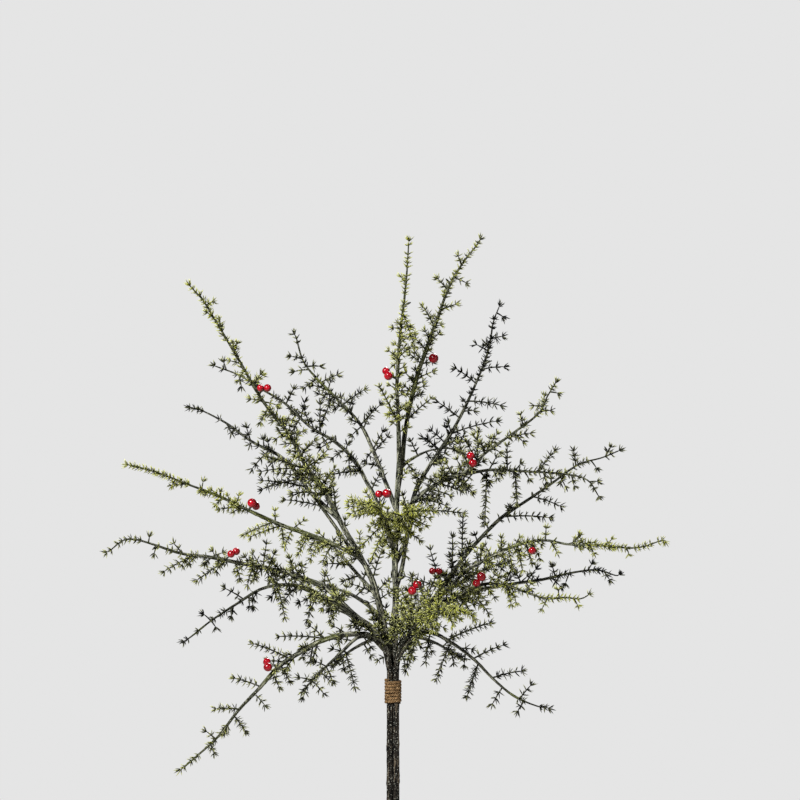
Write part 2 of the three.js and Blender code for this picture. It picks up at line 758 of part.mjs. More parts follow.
// The twine wound round the bundle: its path is a rounded square that climbs by one pitch a turn.
function twineSolid() {
  const middle = (TIE_BOTTOM + TIE_TOP) / 2;
  const away = stemRadius(middle) + STEM_SPACING;
  const bend = stemRadius(TIE_BOTTOM) + SEAT_GAP + TWINE_HALF_DEPTH;
  const climb = TIE_TOP - TIE_BOTTOM - 2 * TWINE_HALF_HEIGHT;
  const cornerStops = TWINE_STEPS_A_CORNER + 1;
  const stopsATurn = 4 * cornerStops;
  const stops = Math.floor((climb / TWINE_PITCH) * stopsATurn);
  const rings = [];
  for (let i = 0; i <= stops; i += 1) {
    const quarter = Math.floor(i / cornerStops);
    const angle = (quarter + (i % cornerStops) / TWINE_STEPS_A_CORNER - 0.5) * (Math.PI / 2) + Math.PI / 4;
    const heading = quarter * (Math.PI / 2) + Math.PI / 4;
    const centre = new THREE.Vector3(
      away * Math.SQRT2 * Math.cos(heading) + bend * Math.cos(angle),
      away * Math.SQRT2 * Math.sin(heading) + bend * Math.sin(angle),
      TIE_BOTTOM + TWINE_HALF_HEIGHT + (i / stopsATurn) * TWINE_PITCH,
    );
    const out = new THREE.Vector3(Math.cos(angle), Math.sin(angle), 0);
    rings.push(
      Array.from({ length: TWINE_SIDES }, (_, k) => {
        const turn = (2 * Math.PI * k) / TWINE_SIDES;
        const corner = centre.clone().addScaledVector(out, TWINE_HALF_DEPTH * Math.sin(turn));
        corner.z += TWINE_HALF_HEIGHT * Math.cos(turn);
        return corner;
      }),
    );
  }
  return loft(rings);
}

// The vase, turned about its axis: flat underside, round belly, narrow neck, rounded lip and hollow inside.
function vaseGeometry() {
  const profile = new THREE.Path();
  const belly = VASE_BELLY_RADIUS;
  const innerBelly = belly - VASE_WALL;
  const innerFoot = VASE_FOOT_RADIUS - VASE_WALL;
  profile.moveTo(0, 0);
  profile.lineTo(VASE_FOOT_RADIUS - 3, 0);
  profile.lineTo(VASE_FOOT_RADIUS, 3);
  profile.bezierCurveTo(VASE_FOOT_RADIUS + 8, 28, belly + 5, 66, belly, VASE_BELLY_HEIGHT);
  profile.bezierCurveTo(belly - 6, 127, VASE_NECK_RADIUS + 1, 128, VASE_NECK_RADIUS, VASE_NECK_START);
  profile.quadraticCurveTo(VASE_NECK_RADIUS, 186, VASE_LIP_RADIUS, VASE_HEIGHT - 3);
  profile.quadraticCurveTo(VASE_LIP_RADIUS - 0.5, VASE_HEIGHT, VASE_LIP_RADIUS - 4, VASE_HEIGHT);
  profile.quadraticCurveTo(VASE_BORE_RADIUS, VASE_HEIGHT, VASE_BORE_RADIUS, VASE_HEIGHT - 3);
  profile.lineTo(VASE_BORE_RADIUS, VASE_NECK_START);
  profile.bezierCurveTo(VASE_BORE_RADIUS + 1, 131, innerBelly - 6, 124, innerBelly, VASE_BELLY_HEIGHT);
  profile.bezierCurveTo(innerBelly + 5, 66, innerFoot + 8, 30, innerFoot, VASE_FLOOR);
  profile.lineTo(0, VASE_FLOOR);
  return new THREE.LatheGeometry(profile.getPoints(3), VASE_SIDES).rotateX(Math.PI / 2);
}

const BARK = new THREE.MeshStandardMaterial({ color: 0x4c5540, roughness: 0.9, metalness: 0 });
const BERRY_RED = new THREE.MeshStandardMaterial({ color: 0xb3121a, roughness: 0.25, metalness: 0 });
const JUTE = new THREE.MeshStandardMaterial({ color: 0x9a6b40, roughness: 0.95, metalness: 0 });
const CERAMIC = new THREE.MeshStandardMaterial({ color: 0xe6e2da, roughness: 0.45, metalness: 0 });

const bunch = new THREE.Group();
function place(name, geometry, material) {
  const mesh = new THREE.Mesh(geometry, material);
  mesh.name = name;
  bunch.add(mesh);
}

// Wood first, then berries, then twigs and needles, so that what comes later keeps clear of what is there.
for (const stem of STEMS) {
  take(stem.name, stemCentre(stem.corner, VASE_FLOOR), stemCentre(stem.corner, STEM_TOP), STEM_TIE_RADIUS);
  for (const branch of stem.branches) {
    const path = branchPath(branch, stem.corner);
    paths.set(branch.name, path);
    takeWood(stem.name, path, branch.radius);
  }
}
const tieFoot = new THREE.Vector3(0, 0, TIE_BOTTOM);
const tieHead = new THREE.Vector3(0, 0, TIE_TOP);
take("jute_tie", tieFoot, tieHead, 3 * STEM_TIE_RADIUS);
BERRIES.forEach((berry, i) => {
  const name = `berry_${String(i + 1).padStart(2, "0")}`;
  const { centres } = berryCentres(berry);
  centres.forEach((centre, k) => take(name, centre, centres[0], berry.fruit[k][2] / 2));
  place(name, geometryOf(berrySolid(berry)), BERRY_RED);
});
let key = 0;
for (const stem of STEMS) {
  const solids = [cutStem(stem.corner)];
  for (const branch of stem.branches) {
    const path = paths.get(branch.name);
    const leader = 1 - LEADER_SHARE;
    key += 100;
    solids.push(loft([
      ...woodRings(path, branch.radius, leader),
      ...shootRings(stem.name, path, stopsOf(path), branch.radius, leader, key),
    ]));
    twigPaths(branch, path, key).forEach((twig, i) => {
      if (!isTwigClear(stem.name, twig)) return;
      solids.push(loft(shootRings(stem.name, twig, [], TWIG_RADII, 0, key + 10 * i)));
    });
  }
  BERRIES.filter((berry) => stem.branches.some((branch) => branch.name === berry.on)).forEach((berry) => {
    solids.push(berryStalk(berry));
  });
  place(stem.name, geometryOf(joined(solids)), BARK);
}
place("jute_tie", geometryOf(twineSolid()), JUTE);
place("vase", vaseGeometry(), CERAMIC);

export default bunch;
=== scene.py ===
import math
import random
from bisect import bisect_right

import bpy
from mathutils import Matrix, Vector, noise


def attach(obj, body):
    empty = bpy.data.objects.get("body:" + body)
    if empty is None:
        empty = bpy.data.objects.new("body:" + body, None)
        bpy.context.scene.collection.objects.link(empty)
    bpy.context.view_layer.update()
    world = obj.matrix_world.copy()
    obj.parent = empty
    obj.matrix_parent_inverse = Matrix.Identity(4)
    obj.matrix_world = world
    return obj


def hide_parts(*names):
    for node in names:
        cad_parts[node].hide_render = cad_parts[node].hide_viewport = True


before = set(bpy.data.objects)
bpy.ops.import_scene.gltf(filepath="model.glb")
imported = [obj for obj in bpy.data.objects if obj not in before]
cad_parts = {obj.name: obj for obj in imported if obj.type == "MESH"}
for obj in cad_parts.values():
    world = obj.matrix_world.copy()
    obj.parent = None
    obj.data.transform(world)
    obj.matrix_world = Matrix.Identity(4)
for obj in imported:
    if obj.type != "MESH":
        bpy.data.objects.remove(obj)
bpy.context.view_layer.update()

# The vase: thrown stoneware with a round belly and a narrow neck, glazed off-white and satin all over but
# for the bare foot that it stands on. The photograph ends above it, so it is plain.
MM = 0.001
VASE_SIDES = 96
FOOT_TOP = 5.5
LIP_BOTTOM = 197.5


def curve(*controls, steps):
    """The points of one Bezier curve, without the first."""
    made = []
    for i in range(1, steps + 1):
        row = [Vector(point) for point in controls]
        while len(row) > 1:
            row = [a.lerp(b, i / steps) for a, b in zip(row, row[1:])]
        made.append(row[0])
    return made


class Shape:
    """A mesh in the making, in millimetres: its corners, its faces and what each corner is marked with."""

    def __init__(self):
        self.corners = []
        self.faces = []
        self.marks = {}

    def add(self, point, **marks):
        """One more corner."""
        self.corners.append(point)
        for title, value in marks.items():
            self.marks.setdefault(title, []).append(value)
        return len(self.corners) - 1

    def skin(self, rows, ends=True):
        """Faces between rows of corners that run anticlockwise round the way from the first to the last."""
        for low, high in zip(rows, rows[1:]):
            for k in range(len(low)):
                n = (k + 1) % len(low)
                self.faces.append((low[k], low[n], high[n], high[k]))
        if ends:
            self.faces.append(tuple(reversed(rows[0])))
            self.faces.append(tuple(rows[-1]))

    def point_off(self, row, tip):
        """Faces from a row of corners to one corner beyond it."""
        for k in range(len(row)):
            self.faces.append((row[k], row[(k + 1) % len(row)], tip))

    def build(self, name, material):
        """The finished piece."""
        mesh = bpy.data.meshes.new(name)
        mesh.from_pydata([point * MM for point in self.corners], [], self.faces)
        for title, values in self.marks.items():
            if isinstance(values[0], Vector):
                layer = mesh.attributes.new(title, "FLOAT_VECTOR", "POINT")
                layer.data.foreach_set("vector", [part * MM for value in values for part in value])
            else:
                layer = mesh.attributes.new(title, "FLOAT", "POINT")
                layer.data.foreach_set("value", values)
        mesh.shade_smooth()
        mesh.materials.append(material)
        piece = bpy.data.objects.new(name, mesh)
        bpy.context.scene.collection.objects.link(piece)
        return piece


def paint(code):
    """A colour from its web code, as the linear values that nodes take."""
    parts = [int(code[i:i + 2], 16) / 255 for i in (0, 2, 4)]
    return (*(p / 12.92 if p <= 0.04045 else ((p + 0.055) / 1.055) ** 2.4 for p in parts), 1)


def node(tree, kind, inputs=None, **settings):
    """A node of a kind. Each input takes a value or another node's socket."""
    made = tree.nodes.new("ShaderNode" + kind)
    for title, value in settings.items():
        setattr(made, title, value)
    for title, value in (inputs or {}).items():
        if isinstance(value, bpy.types.NodeSocket):
            tree.links.new(value, made.inputs[title])
        else:
            made.inputs[title].default_value = value
    return made


def marked(tree, title, kind="Fac"):
    """What the corners are marked with under a title."""
    return node(tree, "Attribute", attribute_name=title).outputs[kind]


def between(tree, mask, low, high):
    """A colour that goes from low to high with a mask."""
    made = node(tree, "Mix", data_type="RGBA")
    tree.links.new(mask, made.inputs["Factor"])
    for value, socket in ((low, made.inputs[6]), (high, made.inputs[7])):
        if isinstance(value, bpy.types.NodeSocket):
            tree.links.new(value, socket)
        else:
            socket.default_value = paint(value)
    return made.outputs[2]


def ranged(tree, value, low, high, to_low=0.0, to_high=1.0):
    """A value's stretch from low to high, turned smoothly into another stretch."""
    inputs = {"Value": value, "From Min": low, "From Max": high, "To Min": to_low, "To Max": to_high}
    return node(tree, "MapRange", inputs, interpolation_type="SMOOTHSTEP").outputs["Result"]


def finish(name, **constants):
    """A new material with its tree and its shader, on which values that never vary are set."""
    made = bpy.data.materials.new(name)
    made.use_nodes = True
    shader = made.node_tree.nodes["Principled BSDF"]
    for title, value in constants.items():
        shader.inputs[title.replace("_", " ")].default_value = value
    return made, made.node_tree, shader


def surface(tree, shader, colour, rough, height, distance):
    """A finish's colour, roughness and bumps, whose full height is the distance in metres."""
    tree.links.new(colour, shader.inputs["Base Color"])
    tree.links.new(rough, shader.inputs["Roughness"])
    bump = node(tree, "Bump", {"Height": height, "Distance": distance})
    tree.links.new(bump.outputs["Normal"], shader.inputs["Normal"])


# Patches, flecks and stains of every finish here: where a noise rises over a level.
PATCHES = bpy.data.node_groups.new("Patches", "ShaderNodeTree")
PATCHES.interface.new_socket(name="Vector", in_out="INPUT", socket_type="NodeSocketVector")
for title, value in (("Scale", 100.0), ("Detail", 2.0), ("Level", 0.5), ("Softness", 0.1)):
    socket = PATCHES.interface.new_socket(name=title, in_out="INPUT", socket_type="NodeSocketFloat")
    socket.default_value = value
PATCHES.interface.new_socket(name="Mask", in_out="OUTPUT", socket_type="NodeSocketFloat")
given = PATCHES.nodes.new("NodeGroupInput").outputs
cloud = node(PATCHES, "TexNoise", {title: given[title] for title in ("Vector", "Scale", "Detail")})
full = node(PATCHES, "Math", {0: given["Level"], 1: given["Softness"]}, operation="ADD")
mask = ranged(PATCHES, cloud.outputs["Fac"], given["Level"], full.outputs["Value"])
PATCHES.links.new(mask, PATCHES.nodes.new("NodeGroupOutput").inputs["Mask"])


def patches(tree, vector, scale, level, softness, detail=2.0):
    """The mask of the Patches group with a finish's own values."""
    made = node(tree, "Group", node_tree=PATCHES)
    tree.links.new(vector, made.inputs["Vector"])
    for title, value in (("Scale", scale), ("Level", level), ("Softness", softness), ("Detail", detail)):
        made.inputs[title].default_value = value
    return made.outputs["Mask"]


def glaze():
    made, tree, shader = finish("off_white_glaze", Coat_Weight=0.25, Coat_Roughness=0.2)
    place = node(tree, "TexCoord").outputs["Object"]
    height = node(tree, "SeparateXYZ", {"Vector": place}).outputs["Z"]
    pooled = patches(tree, place, 22, 0.35, 0.3)
    colour = between(tree, pooled, "c6c0b2", "d2cdc1")
    specks = patches(tree, place, 900, 0.69, 0.03)
    colour = between(tree, specks, colour, "8a7658")
    thin = ranged(tree, height, (LIP_BOTTOM - 2) * MM, (LIP_BOTTOM + 2.5) * MM)
    colour = between(tree, thin, colour, "c8b595")
    wobble = node(tree, "Math", {0: patches(tree, place, 60, 0.3, 0.4), 1: 0.0012, 2: height},
                  operation="MULTIPLY_ADD")
    bare = ranged(tree, wobble.outputs["Value"], FOOT_TOP * MM, (FOOT_TOP - 0.6) * MM)
    clay = between(tree, patches(tree, place, 1400, 0.4, 0.2), "a98a69", "bfa382")
    colour = between(tree, bare, colour, clay)
    rings = node(tree, "TexWave", {"Vector": place, "Scale": 42, "Distortion": 1.2, "Detail": 2},
                 bands_direction="Z")
    surface(tree, shader, colour, ranged(tree, bare, 0, 1, 0.32, 0.85), rings.outputs["Fac"], 0.00025)
    return made


profile = [
    Vector((0, 0)), Vector((30, 0)), Vector((45, 0)),
    *curve((45, 0), (48, 0), (48, 3), steps=6),
    *curve((48, 3), (56, 28), (63, 66), (58, 95), steps=32),
    *curve((58, 95), (52, 127), (15, 128), (14, 165), steps=40),
    *curve((14, 165), (14, 186), (16.5, 197), steps=14),
    *curve((16.5, 197), (16, 200), (12.5, 200), steps=6),
    *curve((12.5, 200), (8.8, 200), (8.8, 197), steps=6),
    *curve((8.8, 197), (8.8, 165), steps=8),
    *curve((8.8, 165), (9.8, 131), (47.5, 124), (53.5, 95), steps=24),
    *curve((53.5, 95), (58.5, 66), (51.5, 30), (43.5, 8), steps=24),
    Vector((20, 8)), Vector((0, 8)),
]
pot = Shape()
rows = []
for radius, height in profile[1:-1]:
    turns = [2 * math.pi * k / VASE_SIDES for k in range(VASE_SIDES)]
    rows.append([pot.add(Vector((radius * math.cos(t), radius * math.sin(t), height))) for t in turns])
pot.skin(rows, ends=False)
pot.point_off(rows[0][::-1], pot.add(Vector((0, 0, 0))))
pot.point_off(rows[-1], pot.add(Vector((0, 0, profile[-1].y))))
vase = pot.build("stoneware_vase", glaze())
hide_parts("vase")
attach(vase, "root")

# The four cut stems: black-brown bark with ridges, pale flecks and a swollen joint here and there. They
# stand on the vase's inner floor, side by side, and lean together up to the tie.
STEM_PLACES = {"left_high": (-1, 1), "left_low": (-1, -1), "middle": (1, 1), "right": (1, -1)}
STEM_JOINTS = {"left_high": (262, 196), "left_low": (266, 229), "middle": (236, 150), "right": (268, 231)}
STEM_BOTTOM = 8.3
STEM_END = 346
STEM_GAP = 0.17
STEM_CORNERS = 18
STEM_ROWS = 160
BARK_THICKNESS = 0.45
TIE_TOP = 333


def stem_radius(height):
    """A stem's radius under its bark. It tapers a little upwards."""
    return 3.1 - 0.35 * height / TIE_TOP


def stem_centre(corner, height):
    """The middle of the stem in a corner of the bundle."""
    away = stem_radius(height) + STEM_GAP
    return Vector((corner[0] * away, corner[1] * away, height))


def bark():
    """Black-brown where green is 0, grey-green where it is 1, the needles' tone with its painted shade where
    young, moss, and near-black painted shade between the cut stems.
    """
    made, tree, shader = finish("bark", Specular_IOR_Level=0.15)
    straight = marked(tree, "straight", "Vector")
    fine = node(tree, "Mapping", {"Vector": straight, "Scale": (1, 1, 0.3)}).outputs["Vector"]
    long = node(tree, "Mapping", {"Vector": straight, "Scale": (1, 1, 0.09)}).outputs["Vector"]
    ridges = patches(tree, fine, 560, 0.44, 0.12, 3)
    old = between(tree, ridges, "030302", "221d17")
    old = between(tree, patches(tree, long, 520, 0.57, 0.06, 3), old, "574c3d")
    green = between(tree, patches(tree, fine, 700, 0.47, 0.08, 3), "070705", "5b5d4e")
    green = between(tree, patches(tree, long, 700, 0.57, 0.06, 3), green, "a5a48d")
    colour = between(tree, marked(tree, "green"), old, green)
    # Young wood takes the needles' tone, with its painted shade: near-black on the inner and back branches.
    shoot = between(tree, marked(tree, "tone"), "040403", "2e320e")
    colour = between(tree, marked(tree, "young"), colour, shoot)
    fade = ranged(tree, marked(tree, "green"), 0, 1, 0.8, 0.45)
    flecks = patches(tree, straight, 820, 0.6, 0.05, 4)
    flecks = node(tree, "Math", {0: flecks, 1: fade}, operation="MULTIPLY")
    colour = between(tree, flecks.outputs["Value"], colour, "b9b8aa")
    # Near-black painted shade on the sides of the cut stems that face across the bundle.
    colour = between(tree, marked(tree, "deep"), colour, "040302")
    mossy = between(tree, patches(tree, straight, 1300, 0.42, 0.16), "232a0b", "8f9746")
    colour = between(tree, marked(tree, "moss"), colour, mossy)
    rough = ranged(tree, ridges, 0, 1, 0.92, 0.7)
    surface(tree, shader, colour, rough, patches(tree, fine, 1300, 0.3, 0.45, 4), 0.0005)
    return made


BARK = bark()
for name, corner in STEM_PLACES.items():
    stem = Shape()
    rows = []
    for i in range(STEM_ROWS + 1):
        height = STEM_BOTTOM + (STEM_END - STEM_BOTTOM) * i / STEM_ROWS
        centre = stem_centre(corner, height)
        swell = sum(0.5 * math.exp(-((height - joint) / 2.2) ** 2) for joint in STEM_JOINTS[name])
        row = []
        for k in range(STEM_CORNERS):
            turn = 2 * math.pi * k / STEM_CORNERS
            out = Vector((math.cos(turn), math.sin(turn), 0))
            rough = noise.fractal(Vector((*(centre + 3 * out).xy, height * 0.22)) * 0.9, 1, 2, 3)
            radius = stem_radius(height) + BARK_THICKNESS + swell + 0.3 * rough
            straight = Vector((radius * out.x + 20 * corner[0], radius * out.y + 20 * corner[1], height))
            # Painted shade: the side of a stem that faces the stems across the bundle is marked to turn
            # near-black, as the groove between them lies in shade.
            deep = min(1, max(0, 2.5 * (-out.x * corner[0]) - 1.4))
            row.append(stem.add(centre + out * radius, straight=straight, green=0.0, young=0.0,
                                tone=0.0, moss=0.0, deep=deep))
        rows.append(row)
    stem.skin(rows)
    piece = stem.build("cut_stem_" + name, BARK)
    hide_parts("leafy_stem_" + name)
    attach(piece, "root")

# The branches: above the tie each stem forks into branches with short twigs and a few snapped stubs. The
# bark turns from brown to grey-green, the youngest wood has its needles' colour, and moss grows here and
# there. Each stem's branches start inside its cut top, and sprays fill the foliage between the longer twigs.

# A branch's on is the branch that it grows from, if it doesn't start at the tie, and depth is its tip's y.
# Radii, and tones of the needles from dark to yellow-green, go from root to tip. A route is of (x, z), and
# twigs and stubs are (root x, root z, tip x, tip z). The rest departs from the usual: first is the share of
# the branch from which it has needles of its own, sprays is how many short sprays it has, start and end are
# the shares between which they stand, clear is a stretch without them, spread is how far out the branch stays
# thick, and moss is how much is added.
# The tones are partly the needles' own green and partly painted light: low, near-black tones are painted
# shade on the inner and back branches, and high ones are paler painted light on the front branches.
STEMS = {}
STEMS["left_high"] = dict(
    high_left=dict(
        depth=-60, radii=(2.6, 0.6), tones=(0.28, 0.95), first=0.42, start=0.42, end=0.66,
        route=[(-3, 346), (-8, 381), (-19, 427), (-35, 460), (-51, 487), (-69, 523), (-84, 541), (-103, 577),
            (-129, 610), (-153, 651), (-176, 690), (-189, 711), (-205, 729)],
        twigs=[(-156, 660, -154, 672), (-136, 628, -127, 640), (-150, 648, -166, 652), (-148, 642, -155, 628),
            (-129, 610, -112, 606), (-124, 604, -134, 586), (-115, 592, -97, 592), (-106, 580, -120, 571),
            (-55, 498, -61, 535), (-186, 706, -176, 712), (-47, 482, -48, 496), (-66, 518, -104, 520),
            (-74, 530, -118, 540), (-84, 541, -128, 556), (-72, 527, -56, 546), (-86, 545, -66, 558),
            (-15, 434, -9, 469), (-14, 420, 2, 438), (-13, 412, 4, 424), (-129, 610, -146, 614),
            (-103, 577, -86, 582), (-5, 366, -14, 392), (-8, 381, -24, 404), (-12, 402, -22, 424),
            (-14, 412, -28, 408), (-92, 556, -76, 574), (-84, 541, -62, 566), (-156, 656, -160, 672),
            (-162, 667, -172, 680), (-170, 680, -174, 696), (-177, 692, -188, 702), (-186, 706, -194, 720),
            (-144, 637, -154, 648)],
    ),
    beside_fork=dict(
        on="high_left", depth=2, radii=(2.2, 1.4), tones=(0.2, 0.4), first=1, sprays=0,
        route=[(-3, 349), (-2, 372), (0, 396), (4, 424)],
    ),
    beside_high=dict(
        on="high_left", depth=-9, radii=(1.5, 1.4), tones=(0.2, 0.4), first=1, sprays=0,
        route=[(-30, 442), (-44, 466), (-58, 486), (-72, 506), (-82, 519)],
    ),
    mid_left=dict(
        on="high_left", depth=70, radii=(1.9, 0.6), tones=(0.3, 0.1), sprays=0.7,
        route=[(-55, 492), (-83, 520), (-92, 533), (-112, 555), (-141, 570), (-168, 589), (-194, 602),
            (-208, 605)],
        twigs=[(-143, 571, -148, 588), (-125, 560, -126, 574), (-88, 524, -134, 532), (-112, 555, -125, 548),
            (-68, 503, -112, 513), (-168, 589, -160, 576), (-98, 540, -84, 548), (-92, 533, -134, 522),
            (-100, 544, -136, 540), (-90, 530, -104, 552), (-90, 530, -76, 544), (-125, 560, -144, 540)],
    ),
    left=dict(
        on="high_left", depth=-85, radii=(1.9, 0.65), tones=(0.75, 1), first=0.48, sprays=1.2, start=0.0,
        clear=(0.14, 0.5), spread=0.9, moss=0.45,
        route=[(-32, 452), (-55, 466), (-82, 477), (-108, 486), (-144, 502), (-175, 517), (-206, 529),
            (-237, 541), (-267, 549)],
        twigs=[(-150, 504, -177, 503), (-190, 524, -188, 535), (-156, 509, -152, 521), (-117, 490, -118, 506),
            (-110, 486, -146, 474), (-84, 478, -96, 468), (-216, 533, -222, 524), (-100, 484, -86, 494),
            (-66, 471, -76, 482), (-60, 468, -72, 448), (-72, 473, -84, 450), (-84, 478, -96, 456),
            (-100, 484, -110, 462), (-112, 487, -108, 466), (-118, 490, -152, 476), (-200, 527, -214, 533),
            (-204, 528, -219, 528), (-176, 517, -191, 521), (-172, 516, -184, 525), (-140, 501, -156, 505)],
    ),
    inner_left=dict(
        on="high_left", depth=95, radii=(1.7, 0.6), tones=(0.35, 0.35), sprays=0,
        route=[(-16, 415), (-35, 437), (-55, 459), (-66, 468), (-93, 477)],
        twigs=[(-44, 446, -70, 448), (-20, 418, -44, 429), (-30, 432, -22, 452), (-62, 465, -54, 480),
            (-34, 436, -52, 430)],
    ),
    back_left=dict(
        on="high_left", depth=185, radii=(1.8, 0.6), tones=(0.3, 0.4), first=0.65, sprays=0,
        route=[(-10, 388), (-20, 402), (-38, 414), (-58, 421), (-78, 424)],
        twigs=[(-38, 414, -24, 426), (-50, 418, -62, 405), (-62, 421, -70, 440)],
    ),
    back_low_left=dict(
        on="high_left", depth=140, radii=(1.6, 0.6), tones=(0.25, 0.35), first=0.7, sprays=0,
        route=[(-5, 366), (-18, 372), (-36, 364), (-52, 352), (-62, 342)],
        twigs=[(-30, 368, -20, 352), (-46, 357, -64, 362)],
    ),
)
STEMS["left_low"] = dict(
    far_left=dict(
        depth=-40, radii=(2.6, 0.6), tones=(0.5, 0.5), first=0.42, start=0.24,
        route=[(-3, 346), (-8, 364), (-20, 383), (-40, 398), (-65, 423), (-82, 431), (-112, 441), (-147, 448),
            (-182, 455), (-211, 459), (-242, 469), (-257, 473), (-269, 472), (-283, 461), (-289, 460)],
        twigs=[(-244, 470, -242, 479), (-236, 467, -239, 455), (-210, 459, -221, 472), (-198, 457, -232, 439),
            (-165, 451, -199, 430), (-142, 447, -136, 434), (-125, 444, -117, 462), (-182, 455, -166, 461),
            (-96, 436, -88, 449), (-182, 455, -190, 445), (-105, 439, -120, 428), (-119, 442, -107, 392),
            (-112, 441, -126, 456), (-132, 445, -142, 462), (-92, 434, -104, 452), (-104, 439, -92, 424),
            (-128, 444, -118, 424), (-140, 447, -150, 458), (-170, 452, -178, 438), (-100, 437, -104, 458),
            (-158, 450, -152, 430), (-134, 446, -140, 430), (-196, 457, -206, 446), (-204, 458, -212, 444),
            (-130, 445, -126, 472), (-140, 447, -146, 424), (-8, 364, -20, 396), (-8, 364, -2, 384),
            (-30, 390, -46, 384), (-6, 356, -18, 350)],
        stubs=[(-236, 465, -242, 461)],
    ),
    beside_left=dict(
        on="far_left", depth=20, radii=(2.3, 1.6), tones=(0.2, 0.3), first=1, sprays=0,
        route=[(-4, 350), (-9, 366), (-21, 381), (-40, 395), (-62, 410), (-84, 421)],
    ),
    left_drooping=dict(
        on="far_left", depth=80, radii=(1.8, 0.6), tones=(0.15, 0.15), first=0.6, sprays=0.4,
        route=[(-36, 395), (-56, 404), (-80, 420), (-104, 427), (-131, 423), (-156, 408), (-183, 390),
            (-203, 374), (-214, 367)],
        twigs=[(-183, 390, -193, 399), (-160, 405, -163, 391), (-150, 412, -172, 425), (-120, 425, -116, 411),
            (-183, 390, -176, 380), (-74, 416, -97, 408), (-66, 410, -60, 394), (-134, 421, -142, 410),
            (-96, 425, -110, 410), (-112, 427, -124, 412), (-126, 424, -120, 440), (-88, 422, -98, 436),
            (-80, 420, -86, 388)],
        stubs=[(-161, 402, -162, 392)],
    ),
    low_left=dict(
        on="far_left", depth=-70, radii=(2.3, 0.6), tones=(0.35, 0.62), first=0.72, sprays=0.5, end=0.45,
        spread=1.4, moss=0.36,
        route=[(-7, 362), (-22, 376), (-36, 378), (-52, 377), (-73, 371), (-93, 360), (-113, 347),
            (-133, 325), (-153, 304), (-174, 277), (-195, 258), (-214, 242)],
        twigs=[(-153, 304, -181, 304), (-132, 326, -162, 336), (-104, 354, -143, 371), (-66, 373, -118, 376),
            (-138, 319, -125, 305), (-158, 297, -145, 279), (-177, 275, -189, 285), (-181, 269, -177, 257),
            (-112, 348, -102, 328), (-46, 377, -62, 388), (-120, 340, -112, 322), (-108, 350, -128, 352),
            (-86, 364, -92, 352), (-80, 368, -84, 346), (-96, 358, -110, 340)],
        stubs=[(-163, 287, -164, 275)],
    ),
    low_front=dict(
        on="far_left", depth=-115, radii=(1.6, 0.6), tones=(0.25, 0.4), first=0.6, sprays=0.2, moss=0.1,
        route=[(-10, 367), (-32, 376), (-52, 360), (-75, 339), (-91, 322)],
        twigs=[(-48, 363, -37, 323), (-72, 342, -60, 331), (-66, 347, -80, 354), (-30, 375, -20, 362),
            (-80, 334, -96, 338), (-66, 347, -58, 328), (-80, 334, -66, 318)],
    ),
    front_left=dict(
        on="far_left", depth=-150, radii=(1.6, 0.6), tones=(0.5, 0.6), first=0.5, sprays=0.4,
        route=[(-40, 398), (-48, 404), (-60, 412), (-72, 417), (-82, 419)],
        twigs=[(-54, 408, -44, 420), (-64, 414, -72, 402), (-72, 417, -84, 428)],
    ),
)
